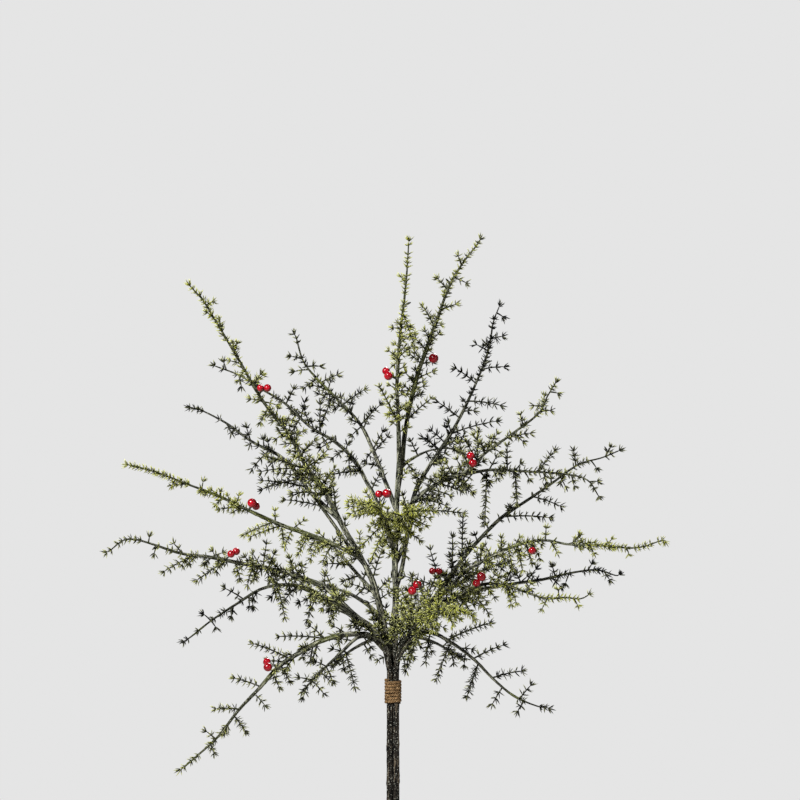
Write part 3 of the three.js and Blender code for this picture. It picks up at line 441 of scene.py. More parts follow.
STEMS["middle"] = dict(
    top=dict(
        depth=-25, radii=(2.7, 0.6), tones=(0.6, 0.9), first=0.6, sprays=0.6, start=0.55, end=0.8, spread=1.4,
        route=[(3, 346), (2, 372), (3, 422), (2, 452), (4, 515), (6, 550), (5, 602), (4, 627), (7, 675),
            (11, 710), (14, 741), (16, 775)],
        twigs=[(8, 682, -3, 685), (9, 684, 21, 686), (11, 699, 23, 662), (5, 650, -7, 640),
            (5, 587, -15, 629), (5, 622, 17, 616), (5, 600, -8, 596), (13, 728, 6, 738), (4, 500, -10, 486),
            (4, 530, 15, 542), (6, 655, 22, 668), (7, 668, 24, 680)],
        stubs=[(13, 706, 21, 711)],
    ),
    beside_top=dict(
        on="top", depth=8, radii=(1.9, 1.6), tones=(0.3, 0.5), first=1, sprays=0,
        route=[(5, 424), (9, 444), (12, 462), (20, 500)],
    ),
    top_right=dict(
        on="top", depth=40, radii=(1.9, 0.6), tones=(0.5, 0.75), first=0.36, sprays=0.6, start=0.34,
        spread=2.2, moss=0.1,
        route=[(5, 517), (9, 550), (13, 586), (23, 632), (34, 664), (45, 695), (56, 725), (69, 748),
            (83, 766), (90, 777)],
        twigs=[(69, 747, 64, 760), (61, 735, 77, 728), (54, 722, 42, 737), (48, 702, 67, 709),
            (40, 686, 28, 709), (37, 669, 49, 681), (25, 632, 43, 642), (18, 591, 41, 616), (9, 554, 28, 530),
            (28, 648, 14, 660), (22, 628, 10, 642), (33, 662, 20, 676), (20, 620, 34, 628)],
        stubs=[(62, 737, 58, 741), (55, 729, 51, 736), (55, 719, 61, 719)],
    ),
    high_right=dict(
        on="top", depth=95, radii=(2, 0.6), tones=(0.2, 0.05), first=0.55, sprays=0.5, start=0.2, moss=0.12,
        route=[(3, 446), (16, 482), (22, 519), (38, 548), (56, 575), (71, 602), (89, 642), (97, 666),
            (101, 690), (109, 711)],
        twigs=[(99, 673, 114, 677), (96, 661, 80, 670), (90, 643, 116, 646), (83, 629, 60, 646),
            (78, 610, 112, 606), (66, 594, 42, 612), (58, 578, 108, 592), (48, 561, 27, 576),
            (104, 700, 114, 694), (30, 535, 47, 526), (40, 551, 56, 560), (50, 566, 66, 572),
            (56, 575, 52, 588), (56, 575, 78, 568), (48, 562, 74, 578), (46, 560, 32, 576),
            (52, 569, 36, 584)],
        stubs=[(92, 648, 103, 653), (88, 643, 84, 647), (56, 578, 53, 585)],
    ),
    right_rising=dict(
        on="top", depth=-80, radii=(1.9, 0.6), tones=(0.4, 0.65), sprays=0.8, end=0.6,
        route=[(3, 474), (21, 511), (50, 532), (72, 540), (93, 560), (121, 580), (145, 599), (153, 615),
            (164, 633)],
        twigs=[(148, 606, 136, 607), (147, 600, 161, 602), (129, 587, 126, 601), (112, 574, 141, 580),
            (93, 560, 98, 577), (84, 551, 85, 583), (156, 620, 168, 618), (120, 579, 132, 568),
            (60, 536, 52, 551), (16, 500, 74, 499), (30, 518, 48, 512), (36, 522, 60, 516),
            (44, 528, 72, 520), (34, 521, 44, 538), (26, 514, 40, 504), (50, 532, 82, 518),
            (40, 525, 60, 542), (60, 536, 76, 552), (24, 513, 56, 506), (54, 534, 46, 552),
            (70, 540, 62, 556), (84, 551, 70, 574), (76, 544, 64, 572), (93, 560, 78, 580),
            (93, 560, 106, 582)],
    ),
    right_level=dict(
        on="right_rising", depth=-20, radii=(1.3, 0.6), tones=(0.4, 0.45),
        route=[(50, 532), (62, 535), (95, 542), (128, 541), (171, 538), (194, 532), (208, 512)],
        twigs=[(145, 541, 163, 564), (122, 541, 124, 505), (94, 541, 91, 487), (178, 537, 182, 522),
            (114, 542, 114, 570), (196, 530, 208, 531), (72, 538, 66, 522), (62, 535, 78, 524),
            (80, 539, 70, 526), (86, 541, 98, 528), (100, 542, 106, 530), (150, 540, 154, 526),
            (165, 538, 174, 522), (171, 538, 166, 526)],
    ),
    behind_left=dict(
        on="top", depth=85, radii=(1.9, 0.6), tones=(0.25, 0.3), sprays=0.6,
        route=[(2, 458), (-17, 511), (-26, 529), (-39, 552), (-58, 570), (-83, 585), (-108, 608), (-134, 624),
            (-155, 637), (-184, 648)],
        twigs=[(-155, 637, -152, 622), (-140, 628, -131, 641), (-93, 594, -106, 572), (-73, 580, -73, 612),
            (-60, 571, -76, 562), (-32, 541, -68, 536), (-108, 608, -98, 600), (-168, 642, -172, 654),
            (-108, 608, -98, 626), (-48, 562, -64, 552), (-44, 558, -44, 542), (-92, 594, -88, 614),
            (-84, 586, -90, 606)],
        stubs=[(-118, 615, -117, 619), (-58, 569, -58, 580)],
    ),
    up_left=dict(
        on="top", depth=45, radii=(1.8, 0.6), tones=(0.25, 0.35), first=0.58, sprays=0.6, start=0.5,
        route=[(4, 502), (-8, 531), (-20, 562), (-33, 588), (-54, 611), (-75, 632), (-90, 651), (-97, 674),
            (-101, 682)],
        twigs=[(-91, 653, -107, 657), (-86, 646, -69, 646), (-72, 630, -52, 639), (-84, 643, -103, 640),
            (-76, 633, -92, 622), (-41, 597, -77, 620), (-50, 607, -26, 624), (-31, 588, -10, 610),
            (-60, 617, -72, 586), (-32, 585, -44, 574), (-18, 560, -3, 578), (-14, 545, -30, 550),
            (-64, 621, -84, 628), (-30, 583, -20, 604), (-20, 562, -30, 548), (-8, 531, -20, 562),
            (-20, 562, -8, 584)],
        stubs=[(-40, 602, -39, 610)],
    ),
    front_high=dict(
        on="top", depth=-172, radii=(1.7, 0.6), tones=(0.7, 0.9),
        route=[(2, 455), (-4, 480), (-12, 500), (-19, 508), (-24, 511)],
        twigs=[(-12, 499, -47, 508), (-8, 490, -32, 466), (-14, 502, -4, 516), (-16, 505, -34, 502),
            (-20, 508, -28, 524), (-10, 496, 4, 490), (-6, 486, -22, 452), (-13, 501, -40, 497),
            (-9, 494, -26, 484), (-14, 502, -44, 516), (-10, 497, -26, 502), (-16, 505, -48, 512),
            (-20, 508, -46, 498)],
    ),
    front_mid=dict(
        on="top", depth=-118, radii=(1.5, 0.6), tones=(0.8, 0.95), sprays=0.8,
        route=[(3, 475), (8, 492), (14, 500), (18, 502), (20, 501)],
        twigs=[(6, 486, 30, 470), (14, 500, 28, 509), (16, 501, 8, 512), (8, 492, 28, 489), (7, 488, 20, 476),
            (12, 498, 24, 496), (10, 495, 30, 482), (9, 493, 18, 506), (16, 501, 32, 504), (6, 485, 22, 478),
            (14, 500, 40, 494), (16, 501, 44, 502), (12, 497, 36, 486), (6, 484, 14, 452)],
    ),
    back_high=dict(
        on="top", depth=165, radii=(0.95, 0.6), tones=(0.3, 0.45), first=0.8, sprays=0,
        route=[(5, 540), (16, 551), (36, 561), (58, 563), (72, 558)],
        twigs=[(24, 558, 16, 574), (40, 564, 54, 552), (52, 566, 62, 582)],
    ),
)
STEMS["right"] = dict(
    right_high=dict(
        depth=60, radii=(2.2, 0.6), tones=(0.28, 0.35), first=0.55, sprays=0.5, start=0.3, end=0.5,
        route=[(3, 346), (6, 356), (12, 372), (28, 394), (48, 423), (71, 454), (89, 475), (110, 495),
            (140, 515), (159, 528), (186, 547), (210, 554), (232, 563)],
        twigs=[(199, 551, 207, 540), (184, 546, 181, 565), (140, 515, 172, 504), (110, 495, 161, 494),
            (69, 452, 70, 498), (159, 528, 158, 542), (48, 423, 36, 466), (214, 555, 221, 568),
            (96, 482, 88, 496), (126, 506, 122, 518), (30, 397, 14, 412), (36, 405, 22, 432),
            (40, 411, 28, 428), (34, 402, 12, 424), (24, 389, 8, 400), (56, 434, 74, 438), (80, 465, 92, 462),
            (58, 438, 60, 478), (48, 423, 8, 437), (12, 372, 22, 352), (8, 360, 14, 344), (12, 372, 30, 366)],
        stubs=[(140, 516, 139, 522)],
    ),
    far_right=dict(
        on="right_high", depth=-70, radii=(1.5, 0.6), tones=(0.6, 1), sprays=0.6, end=0.5,
        route=[(40, 412), (57, 426), (76, 443), (103, 458), (129, 469), (153, 472), (176, 468), (210, 467),
            (242, 465), (268, 473), (272, 469)],
        twigs=[(211, 467, 221, 476), (190, 468, 184, 479), (196, 467, 202, 456), (152, 472, 153, 488),
            (157, 471, 165, 457), (120, 465, 128, 453), (86, 449, 82, 464), (104, 458, 112, 472),
            (68, 436, 82, 430), (232, 466, 236, 456), (136, 470, 144, 460), (124, 467, 130, 438),
            (132, 470, 140, 446), (138, 471, 148, 450), (116, 463, 120, 440), (92, 452, 104, 440),
            (110, 461, 112, 446), (70, 438, 88, 440), (98, 456, 90, 470), (78, 444, 66, 452),
            (174, 468, 190, 472), (182, 468, 198, 463), (188, 468, 204, 471), (178, 468, 190, 463),
            (206, 467, 222, 464)],
    ),
    right_low=dict(
        on="right_high", depth=78, radii=(1.8, 0.6), tones=(0.3, 0.1), sprays=0.5, end=0.5,
        route=[(34, 402), (60, 414), (87, 422), (122, 428), (151, 432), (178, 438), (205, 441), (225, 435),
            (232, 438)],
        twigs=[(177, 437, 172, 424), (163, 435, 159, 448), (196, 440, 202, 450), (128, 429, 122, 442),
            (100, 425, 108, 438), (212, 439, 220, 428), (80, 420, 70, 434), (112, 426, 120, 446),
            (134, 430, 146, 446), (128, 429, 138, 438), (76, 419, 62, 428)],
    ),
    right_lower=dict(
        on="right_high", depth=-38, radii=(1.7, 0.6), tones=(0.7, 0.85), end=0.55,
        route=[(24, 388), (47, 402), (70, 420), (90, 428), (112, 427), (139, 418), (153, 414), (171, 415),
            (187, 414), (199, 420)],
        twigs=[(154, 414, 147, 400), (114, 426, 119, 404), (180, 415, 186, 404), (132, 420, 140, 432),
            (96, 429, 104, 441), (80, 425, 72, 412), (166, 415, 164, 426), (52, 406, 66, 392),
            (60, 413, 78, 396), (70, 420, 90, 404), (80, 425, 96, 408), (90, 428, 104, 412),
            (66, 417, 56, 402), (106, 427, 122, 416), (118, 424, 124, 406), (46, 401, 60, 400),
            (76, 423, 98, 396), (66, 417, 84, 390)],
    ),
    low_right=dict(
        on="right_high", depth=-62, radii=(1.8, 0.6), tones=(0.5, 0.1), first=0.8, sprays=0.1,
        route=[(5, 354), (18, 372), (36, 380), (58, 370), (81, 353), (101, 333), (121, 317), (142, 308),
            (159, 305)],
        twigs=[(80, 354, 114, 369), (54, 372, 100, 391), (99, 335, 132, 342), (126, 315, 140, 331),
            (85, 349, 73, 313), (109, 326, 97, 306), (130, 312, 122, 299), (58, 370, 42, 331),
            (37, 380, 32, 346), (20, 373, 12, 338), (18, 372, 6, 356), (16, 369, 16, 350),
            (24, 376, 18, 354)],
    ),
    front_right=dict(
        on="right_high", depth=-172, radii=(1.3, 0.6), tones=(0.68, 0.92),
        route=[(14, 376), (23, 388), (36, 398), (50, 404), (62, 408)],
        twigs=[(24, 389, 12, 416), (30, 394, 54, 384), (40, 400, 34, 422), (50, 404, 66, 422),
            (34, 397, 22, 404), (28, 392, 8, 398), (44, 402, 50, 424), (56, 406, 76, 402), (36, 398, 40, 380),
            (48, 403, 62, 390), (22, 387, 32, 376), (20, 384, 4, 386), (23, 388, 2, 404), (30, 394, 18, 410),
            (44, 402, 70, 394), (58, 407, 82, 398), (38, 399, 26, 416), (54, 405, 60, 386),
            (18, 381, 36, 384), (34, 397, 52, 408), (28, 392, 44, 398), (42, 401, 44, 388), (24, 389, 6, 426),
            (44, 402, 46, 434), (18, 381, 44, 438), (16, 378, 20, 440), (40, 400, 20, 438),
            (23, 388, -6, 428), (18, 381, -4, 376), (20, 384, -8, 396), (18, 381, -18, 402)],
    ),
    back_right=dict(
        on="right_high", depth=185, radii=(1.3, 0.7), tones=(0.3, 0.4), sprays=0.6,
        route=[(30, 398), (52, 418), (78, 434), (100, 443), (118, 447)],
        twigs=[(60, 423, 52, 438), (78, 434, 90, 422), (92, 440, 96, 456), (106, 444, 118, 434)],
    ),
    back_low_right=dict(
        on="right_high", depth=145, radii=(1.6, 0.6), tones=(0.25, 0.3), first=0.7, sprays=0,
        route=[(10, 368), (24, 374), (42, 368), (58, 358), (70, 350)],
        twigs=[(34, 372, 40, 356), (50, 363, 62, 374)],
    ),
)
DEPTH_BEND = 1.4
BRANCH_CORNERS = 12
BRANCH_STEP = 3.5
BARK_SHARE = 1.28
TWIG_RADII = (0.95, 0.55)
STUB_RADII = (1.3, 1.0)
TWIG_CORNERS = 6
SPRAY_LENGTH = 17
SPRAY_STEP = 85
SMALL_SPRAY_STEP = 15
GOLDEN_TURN = math.radians(137.5)
COLLAR_SPRAYS = 6
TWIG_SWAY = 0.65
TWIG_STEP = 3
FORK_BOTTOM = 335
BARE_REACH = 50
TIP_REACH = 4
GREEN_FROM = 350
AXES = (Vector((1, 0, 0)), Vector((0, 1, 0)), Vector((0, 0, 1)))


class Path:
    """A line through points, known by the share of its length."""

    def __init__(self, points):
        self.points = points
        self.reached = [0.0]
        for a, b in zip(points, points[1:]):
            self.reached.append(self.reached[-1] + (b - a).length)
        self.length = self.reached[-1]
        span = points[-1] - points[0]
        self.steady = min(AXES, key=lambda axis: abs(axis.dot(span)))

    def at(self, share):
        goal = min(max(share, 0), 1) * self.length
        i = min(bisect_right(self.reached, goal), len(self.points) - 1)
        run = self.reached[i] - self.reached[i - 1]
        return self.points[i - 1].lerp(self.points[i], (goal - self.reached[i - 1]) / max(run, 1e-9))

    def sides(self, share):
        """The way the line runs, and two directions square to it."""
        tangent = (self.at(share + 0.01) - self.at(share - 0.01)).normalized()
        across = (self.steady - tangent * self.steady.dot(tangent)).normalized()
        return tangent, across, tangent.cross(across)

    def nearest(self, x, z):
        """The share at which it passes closest to a place, as seen from the front."""
        shares = [i / 400 for i in range(401)]
        return min(shares, key=lambda share: math.hypot(self.at(share).x - x, self.at(share).z - z))


def smooth(points):
    """A smooth path through the points."""
    ends = [2 * points[0] - points[1], *points, 2 * points[-1] - points[-2]]
    made = [points[0]]
    for a, b, c, d in zip(ends, ends[1:], ends[2:], ends[3:]):
        steps = max(2, round((c - b).length / 2))
        for i in range(1, steps + 1):
            t = i / steps
            bend = (2 * a - 5 * b + 4 * c - d) * t * t + (3 * b - a - 3 * c + d) * t ** 3
            made.append(0.5 * (2 * b + (c - a) * t + bend))
    return Path(made)


def vary(k):
    """A number from 0 to 1 that looks random and is the same every time."""
    wave = math.sin(k * 12.9898 + 4.1) * 43758.5453
    return wave - math.floor(wave)


def blend(pair, share):
    """A value between two, such as a radius between those at root and tip."""
    return pair[0] + (pair[1] - pair[0]) * share


def branch_path(branch, corner):
    """A branch's path. It turns away in depth slowly at first."""
    route = branch["route"]
    if "on" in branch:
        parent = paths[branch["on"]]
        start = parent.at(parent.nearest(*route[0]))
    else:
        start = stem_centre(corner, STEM_END - 4)
    runs = [math.hypot(b[0] - a[0], b[1] - a[1]) for a, b in zip(route, route[1:])]
    points = [start]
    for i in range(1, len(route)):
        share = (sum(runs[:i]) / sum(runs)) ** DEPTH_BEND
        x, z = route[i]
        points.append(Vector((x, start.y + (branch["depth"] - start.y) * share, z)))
    points[-1] += (points[-2] - points[-1]).normalized() * TIP_REACH
    return smooth(points)


def twig_path(root, tip):
    """A twig's path, bent a little upwards."""
    tip = tip + (root - tip).normalized() * min(TIP_REACH, 0.3 * (tip - root).length)
    middle = root.lerp(tip, 0.5)
    middle.z += (tip - root).length * 0.06
    return Path([root, *curve(root, middle, tip, steps=8)])


def spray(path, share, turn, long, outwards=0.85, forwards=0.5):
    """A short twig that stands out at a turn round the branch and leans forwards."""
    root = path.at(share)
    tangent, across, up = path.sides(share)
    out = across * math.cos(turn) + up * math.sin(turn)
    return twig_path(root, root + (out * outwards + tangent * forwards) * long)


def twig_paths(branch, path, key):
    """Those that show beside the branch from the front, and the sprays that stand out all round it."""
    made = []
    for i, (root_x, root_z, tip_x, tip_z) in enumerate(branch.get("twigs", ())):
        root = path.at(path.nearest(root_x, root_z))
        sway = TWIG_SWAY * 2 * vary(key + i) - TWIG_SWAY
        depth = root.y + math.hypot(tip_x - root.x, tip_z - root.z) * sway
        made.append(twig_path(root, Vector((tip_x, depth, tip_z))))
    # A few long ones, towards the back and the front by turns.
    count = math.floor(path.length * 0.75 / SPRAY_STEP)
    for i in range(count):
        share = 0.25 + 0.68 * (i + vary(key + 40 + i)) / count
        root = path.at(share)
        tangent, across, up = path.sides(share)
        side = (1 if i % 2 else -1) * (0.5 + 0.6 * vary(key + 50 + i)) * math.pi / 2
        out = (across * math.sin(side) + up * math.cos(side) * 0.5).normalized()
        made.append(twig_path(root, root + (out * 0.85 + tangent * 0.5) * SPRAY_LENGTH))
    # Many small ones, but none inside the fork.
    bushy = sum(branch["tones"]) / 2
    count = math.floor(path.length * 0.85 * (0.75 + bushy) * branch.get("sprays", 1) / SMALL_SPRAY_STEP)
    start, end = branch.get("start", 0.07), branch.get("end", 0.68)
    clear_from, clear_to = branch.get("clear", (1, 1))
    for i in range(count):
        share = start + (end - start) * ((i + vary(key + 60 + i)) / count) ** 1.2
        root = path.at(share)
        in_fork = math.hypot(root.x, root.z - FORK_BOTTOM) <= BARE_REACH
        if not in_fork and not clear_from < share < clear_to:
            long = (6 + 20 * (1 - share) ** 1.3) * (0.7 + 0.6 * vary(key + 30 + i))
            made.append(spray(path, share, GOLDEN_TURN * i + key, long))
    # Some that rise round the foot of the stem's first branch.
    for i in range(0 if "on" in branch else COLLAR_SPRAYS):
        share = 0.03 + 0.1 * vary(key + 80 + i)
        made.append(spray(path, share, GOLDEN_TURN * i + key, 18 + 10 * vary(key + 90 + i), 0.5, 0.85))
    return made


def moss_on(point, more):
    """How mossy the wood is at a point, from 0 to 1."""
    patch = noise.noise(point * 0.028 + Vector((7, 3, 1)))
    return min(1, max(0, 4 * (patch - 0.34 + more)))


def add_wood(shape, path, radii, corners, step, tones, young, spread=1.3, more_moss=0.0):
    """A tapered, slightly knobbly tube of wood along a path. Tones and young go from root to tip."""
    stations = max(3, round(path.length / step))
    rows = []
    offset = Vector((len(shape.corners) % 97, len(shape.corners) % 89, 0))
    for i in range(stations + 1):
        share = i / stations
        centre = path.at(share)
        tangent, across, up = path.sides(share)
        if corners > TWIG_CORNERS:
            base = radii[1] + (radii[0] * BARK_SHARE - radii[1]) * (1 - share ** spread)
        else:
            base = blend(radii, share)
        if i == stations:
            base *= 0.5
        moss = moss_on(centre, more_moss) * min(4 * share, 1 - 0.6 * share) if corners > TWIG_CORNERS else 0.0
        age = blend(young, share)
        green = min(1.0, max(0.0, (centre.z - GREEN_FROM) / 105 + abs(centre.x) / 75))
        row = []
        for k in range(corners):
            turn = 2 * math.pi * k / corners
            out = across * math.cos(turn) + up * math.sin(turn)
            rough = noise.noise((centre + out * base) * 0.55)
            ridge = noise.noise(Vector((2.2 * math.cos(turn), 2.2 * math.sin(turn), centre.length * 0.05)))
            lump = 0.5 + 0.5 * noise.noise((centre + out * base) * 1.3)
            radius = base * (1 + 0.12 * rough + 0.2 * ridge) + 0.9 * moss * lump
            straight = Vector((radius * math.cos(turn), radius * math.sin(turn), share * path.length))
            row.append(shape.add(
                centre + out * radius, straight=straight + offset, green=green, young=age,
                tone=blend(tones, share), moss=moss * (0.4 + 0.6 * lump),
            ))
        rows.append(row)
    shape.skin(rows)


paths = {}
twigs = {}
key = 0
for stem, branches in STEMS.items():
    wood = Shape()
    for name, branch in branches.items():
        key += 100 if "twigs" in branch else 0
        path = paths[name] = branch_path(branch, STEM_PLACES[stem])
        add_wood(wood, path, branch["radii"], BRANCH_CORNERS, BRANCH_STEP, branch["tones"], (-0.4, 1.0),
                 branch.get("spread", 1.3), branch.get("moss", 0.0))
        twigs[name] = []
        for twig in twig_paths(branch, path, key):
            tone = blend(branch["tones"], path.nearest(twig.at(0).x, twig.at(0).z))
            add_wood(wood, twig, TWIG_RADII, TWIG_CORNERS, TWIG_STEP, (tone, tone), (0.8, 1.0))
            twigs[name].append((twig, tone))
        for root_x, root_z, tip_x, tip_z in branch.get("stubs", ()):
            root = path.at(path.nearest(root_x, root_z))
            stub = twig_path(root, Vector((tip_x, root.y - 2, tip_z)))
            add_wood(wood, stub, STUB_RADII, TWIG_CORNERS, 2, (0.1, 0.1), (0.1, 0.1))
    piece = wood.build("branches_" + stem, BARK)
    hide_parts("leafy_stem_" + stem)
    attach(piece, "root")

# The berries: deep red and glossy, single or in pairs on short woody stalks, each with a dark dimple where
# the flower was. A berry is (x, z, diameter), and forward is how far it stands in front of its branch.
BERRIES = [
    dict(on="high_left", root=(-134, 618), forward=7, fruit=[(-125, 624, 7.7), (-134, 624, 7)]),
    dict(on="top", root=(5, 632), forward=9, fruit=[(-4.5, 636, 8.7), (-7, 641, 7.7)]),
    dict(on="top_right", root=(31, 655), forward=4, fruit=[(40.6, 653.7, 9.7)]),
    dict(on="left", root=(-145, 502), forward=8, fruit=[(-140.4, 509.5, 9.2), (-136.5, 506.3, 8)]),
    dict(on="front_high", root=(-12, 500), forward=6, fruit=[(-6, 519.8, 9.2), (-13.7, 519.1, 7.7)]),
    dict(on="right_rising", root=(86, 553), forward=7, fruit=[(77.3, 556.5, 8), (80.4, 546.3, 8)]),
    dict(on="low_left", root=(-113, 347), forward=8, fruit=[(-124.7, 345.7, 8.7), (-125.7, 350.8, 7.9)]),
    dict(on="far_left", root=(-168, 452), forward=7, fruit=[(-161.4, 458.5, 7.6), (-156.3, 461, 7.6)]),
    dict(on="right_high", root=(50, 426), forward=9, fruit=[(46, 441, 6.9), (38, 441, 6.9)]),
    dict(on="front_right", root=(26, 394), forward=4, fruit=[(19.2, 422.2, 8.7), (24.1, 428.3, 8.7)]),
    dict(on="right_lower", root=(84, 426), forward=9, fruit=[(88.2, 435.7, 9.2), (82.2, 427.7, 7.5)]),
    dict(on="far_right", root=(134, 470), forward=5, fruit=[(139.1, 461.7, 7.5)]),
    dict(on="behind_left", root=(-15, 505), forward=-8, fruit=[(-6.2, 518.3, 8.6), (-14, 517.6, 7.2)]),
    dict(on="back_right", root=(90, 439), forward=-6, fruit=[(89.3, 433.3, 8.6), (83.2, 425.2, 7)]),
    dict(on="back_high", root=(68, 560), forward=-6, fruit=[(78.7, 555.4, 7.6), (81.9, 545, 7.2)]),
]
BERRY_SIDES = 28
BERRY_RINGS = 18
STALK_RADII = (0.8, 0.55)
STALK_STEP = 1.5
STALK_SINK = 0.3
TOUCH = 0.3
DIMPLE_DEPTH = 0.5
HOLLOW_DEPTH = 0.4


def berry_skin():
    made, tree, shader = finish("berry_skin", Coat_Weight=0.35, Coat_Roughness=0.1, Specular_IOR_Level=0.3)
    place = node(tree, "TexCoord").outputs["Object"]
    colour = between(tree, patches(tree, place, 160, 0.35, 0.35), "7c0412", "b00a1e")
    colour = between(tree, patches(tree, place, 1500, 0.68, 0.04), colour, "b8303c")
    colour = between(tree, marked(tree, "dimple"), colour, "2a0d0a")
    rough = ranged(tree, marked(tree, "dimple"), 0, 1, 0.22, 0.8)
    surface(tree, shader, colour, rough, patches(tree, place, 700, 0.3, 0.5), 0.00012)
    return made


def berry_places(berry):
    """Where the stalk starts and forks, and each berry's centre and radius. The second touches the first."""
    path = paths[berry["on"]]
    root = path.at(path.nearest(*berry["root"]))
    x, z, diameter = berry["fruit"][0]
    first = Vector((x, root.y - berry["forward"], z))
    places = [(first, diameter / 2)]
    if len(berry["fruit"]) > 1:
        next_x, next_z, next_diameter = berry["fruit"][1]
        apart = (diameter + next_diameter) / 2 - TOUCH
        step = Vector((next_x - x, 0, next_z - z))
        step.y = math.copysign(math.sqrt(max(0, apart ** 2 - step.length_squared)), berry["forward"])
        places.append((first + step.normalized() * apart, next_diameter / 2))
    middle = sum((centre for centre, _ in places), Vector()) / len(places)
    return root, root.lerp(middle, 0.35), places


SKIN = berry_skin()
stalks = Shape()
berries = []
for number, berry in enumerate(BERRIES, 1):
    root, fork, places = berry_places(berry)
    berries += places
    fruit = Shape()
    for centre, radius in places:
        pole = (centre - fork).normalized()
        across = pole.orthogonal().normalized()
        up = pole.cross(across)
        foot = centre - pole * (radius - STALK_SINK)
        stalk = Path([root, *curve(root, fork, foot, steps=8)])
        add_wood(stalks, stalk, STALK_RADII, TWIG_CORNERS, STALK_STEP, (0.2, 0.2), (0.2, 0.5))
        rows = []
        for i in range(1, BERRY_RINGS):
            fall = math.pi * (1 - i / BERRY_RINGS)
            dimple = math.exp(-(fall / 0.2) ** 2)
            hollow = math.exp(-((math.pi - fall) / 0.3) ** 2)
            row = []
            for k in range(BERRY_SIDES):
                turn = 2 * math.pi * k / BERRY_SIDES
                out = (across * math.cos(turn) + up * math.sin(turn)) * math.sin(fall) + pole * math.cos(fall)
                lump = 1 + 0.025 * noise.noise((centre + out * radius) * 0.35)
                away = radius * lump - DIMPLE_DEPTH * dimple - HOLLOW_DEPTH * hollow
                row.append(fruit.add(centre + out * away, dimple=dimple))
            rows.append(row)
        fruit.skin(rows, ends=False)
        fruit.point_off(rows[0][::-1], fruit.add(centre - pole * (radius - HOLLOW_DEPTH), dimple=0.0))
        fruit.point_off(rows[-1], fruit.add(centre + pole * (radius - DIMPLE_DEPTH - 0.05), dimple=1.0))
    piece = fruit.build(f"red_berries_{number:02d}", SKIN)
    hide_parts(f"berry_{number:02d}")
    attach(piece, "root")
piece = stalks.build("berry_stalks", BARK)
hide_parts(*("leafy_stem_" + name for name in STEMS))
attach(piece, "root")

# The needles: small pointed leaves in whorls along every twig and the outer branches, with a last tuft at
# each tip. Grey-green inside the bunch and yellow-green on the shoots that the light reaches: this tone is
# partly the needles' own and partly painted light, down to near-black painted shade on the inner and back
# branches, and paler on the front ones.
NEEDLE_SECTIONS = ((0.0, 0.5), (0.3, 1.0), (0.68, 0.74))
NEEDLE_HALF_WIDTH = 0.66
NEEDLE_THICKNESS = 0.8
NEEDLE_CURVE = 0.13
NEEDLE_LENGTHS = (5.2, 7.6)
WHORL_NEEDLES = (7, 7, 8, 9)
TWIG_WHORL_STEP = 6.6
BRANCH_WHORL_STEP = 5.2
TIP_GAP = 0.4
CLEAR_IN_FRONT = 45


def needle_green():
    made, tree, shader = finish("needles", Specular_IOR_Level=0.1)
    place = node(tree, "TexCoord").outputs["Object"]
    tone = marked(tree, "tone")
    # The tone's dark end is near-black painted shade, for the inner and back branches; its pale end is the
    # yellow-green of the front shoots.
    blade = between(tree, ranged(tree, tone, 0, 0.5), "040503", "1c210d")
    blade = between(tree, ranged(tree, tone, 0.5, 1), blade, "787c24")
    bright = between(tree, ranged(tree, tone, 0, 1), "12150f", "dcde86")
    bright = between(tree, ranged(tree, tone, 0.95, 1.25), bright, "d6d834")
    # Along each needle: near-black painted shade at the base, where the whorl's needles crowd, and paler
    # towards the tip.
    colour = between(tree, ranged(tree, marked(tree, "along"), 0.45, 1.1), blade, bright)
    colour = between(tree, ranged(tree, marked(tree, "along"), 0.3, 0), colour, "050403")
    # Small pale flecks scattered over the needles: painted highlights.
    pale = between(tree, tone, "1d2019", "ecebbc")
    pale = between(tree, ranged(tree, tone, 0.9, 1.2), pale, "dedd7c")
    colour = between(tree, patches(tree, place, 2600, 0.56, 0.08), colour, pale)
    rough = ranged(tree, tone, 0, 1, 0.5, 0.62)
    surface(tree, shader, colour, rough, patches(tree, place, 3000, 0.3, 0.4), 0.0001)
    return made


def add_needle(shape, start, out, tangent, lean, length, tone):
    """One needle. It leans from the twig's way outwards and curves a little forwards."""
    way = tangent * math.cos(lean) + out * math.sin(lean)
    side = tangent.cross(out)
    face = way.cross(side)
    rows = []
    for share, width in NEEDLE_SECTIONS:
        centre = start + way * length * share + tangent * NEEDLE_CURVE * length * share * share
        half = NEEDLE_HALF_WIDTH * width * (1.12 - 0.2 * tone)
        offsets = (side * half, face * half * NEEDLE_THICKNESS, -side * half, -face * half * NEEDLE_THICKNESS)
        # Each corner is marked with how far along the needle it stands, which the needles' colour uses for
        # painted shade at the base.
        rows.append([shape.add(centre + offset, tone=tone, along=share) for offset in offsets])
    shape.skin(rows, ends=False)
    shape.faces.append(tuple(reversed(rows[0])))
    tip = start + way * length + tangent * NEEDLE_CURVE * length
    shape.point_off(rows[-1], shape.add(tip, tone=tone, along=1.0))


def hides(centre, middle, size):
    """Whether a whorl would touch a berry or stand close in front of it."""
    away = centre - middle
    in_front = -CLEAR_IN_FRONT < away.y < 0 and math.hypot(away.x, away.z) < size + 3
    return in_front or away.length < size + 2


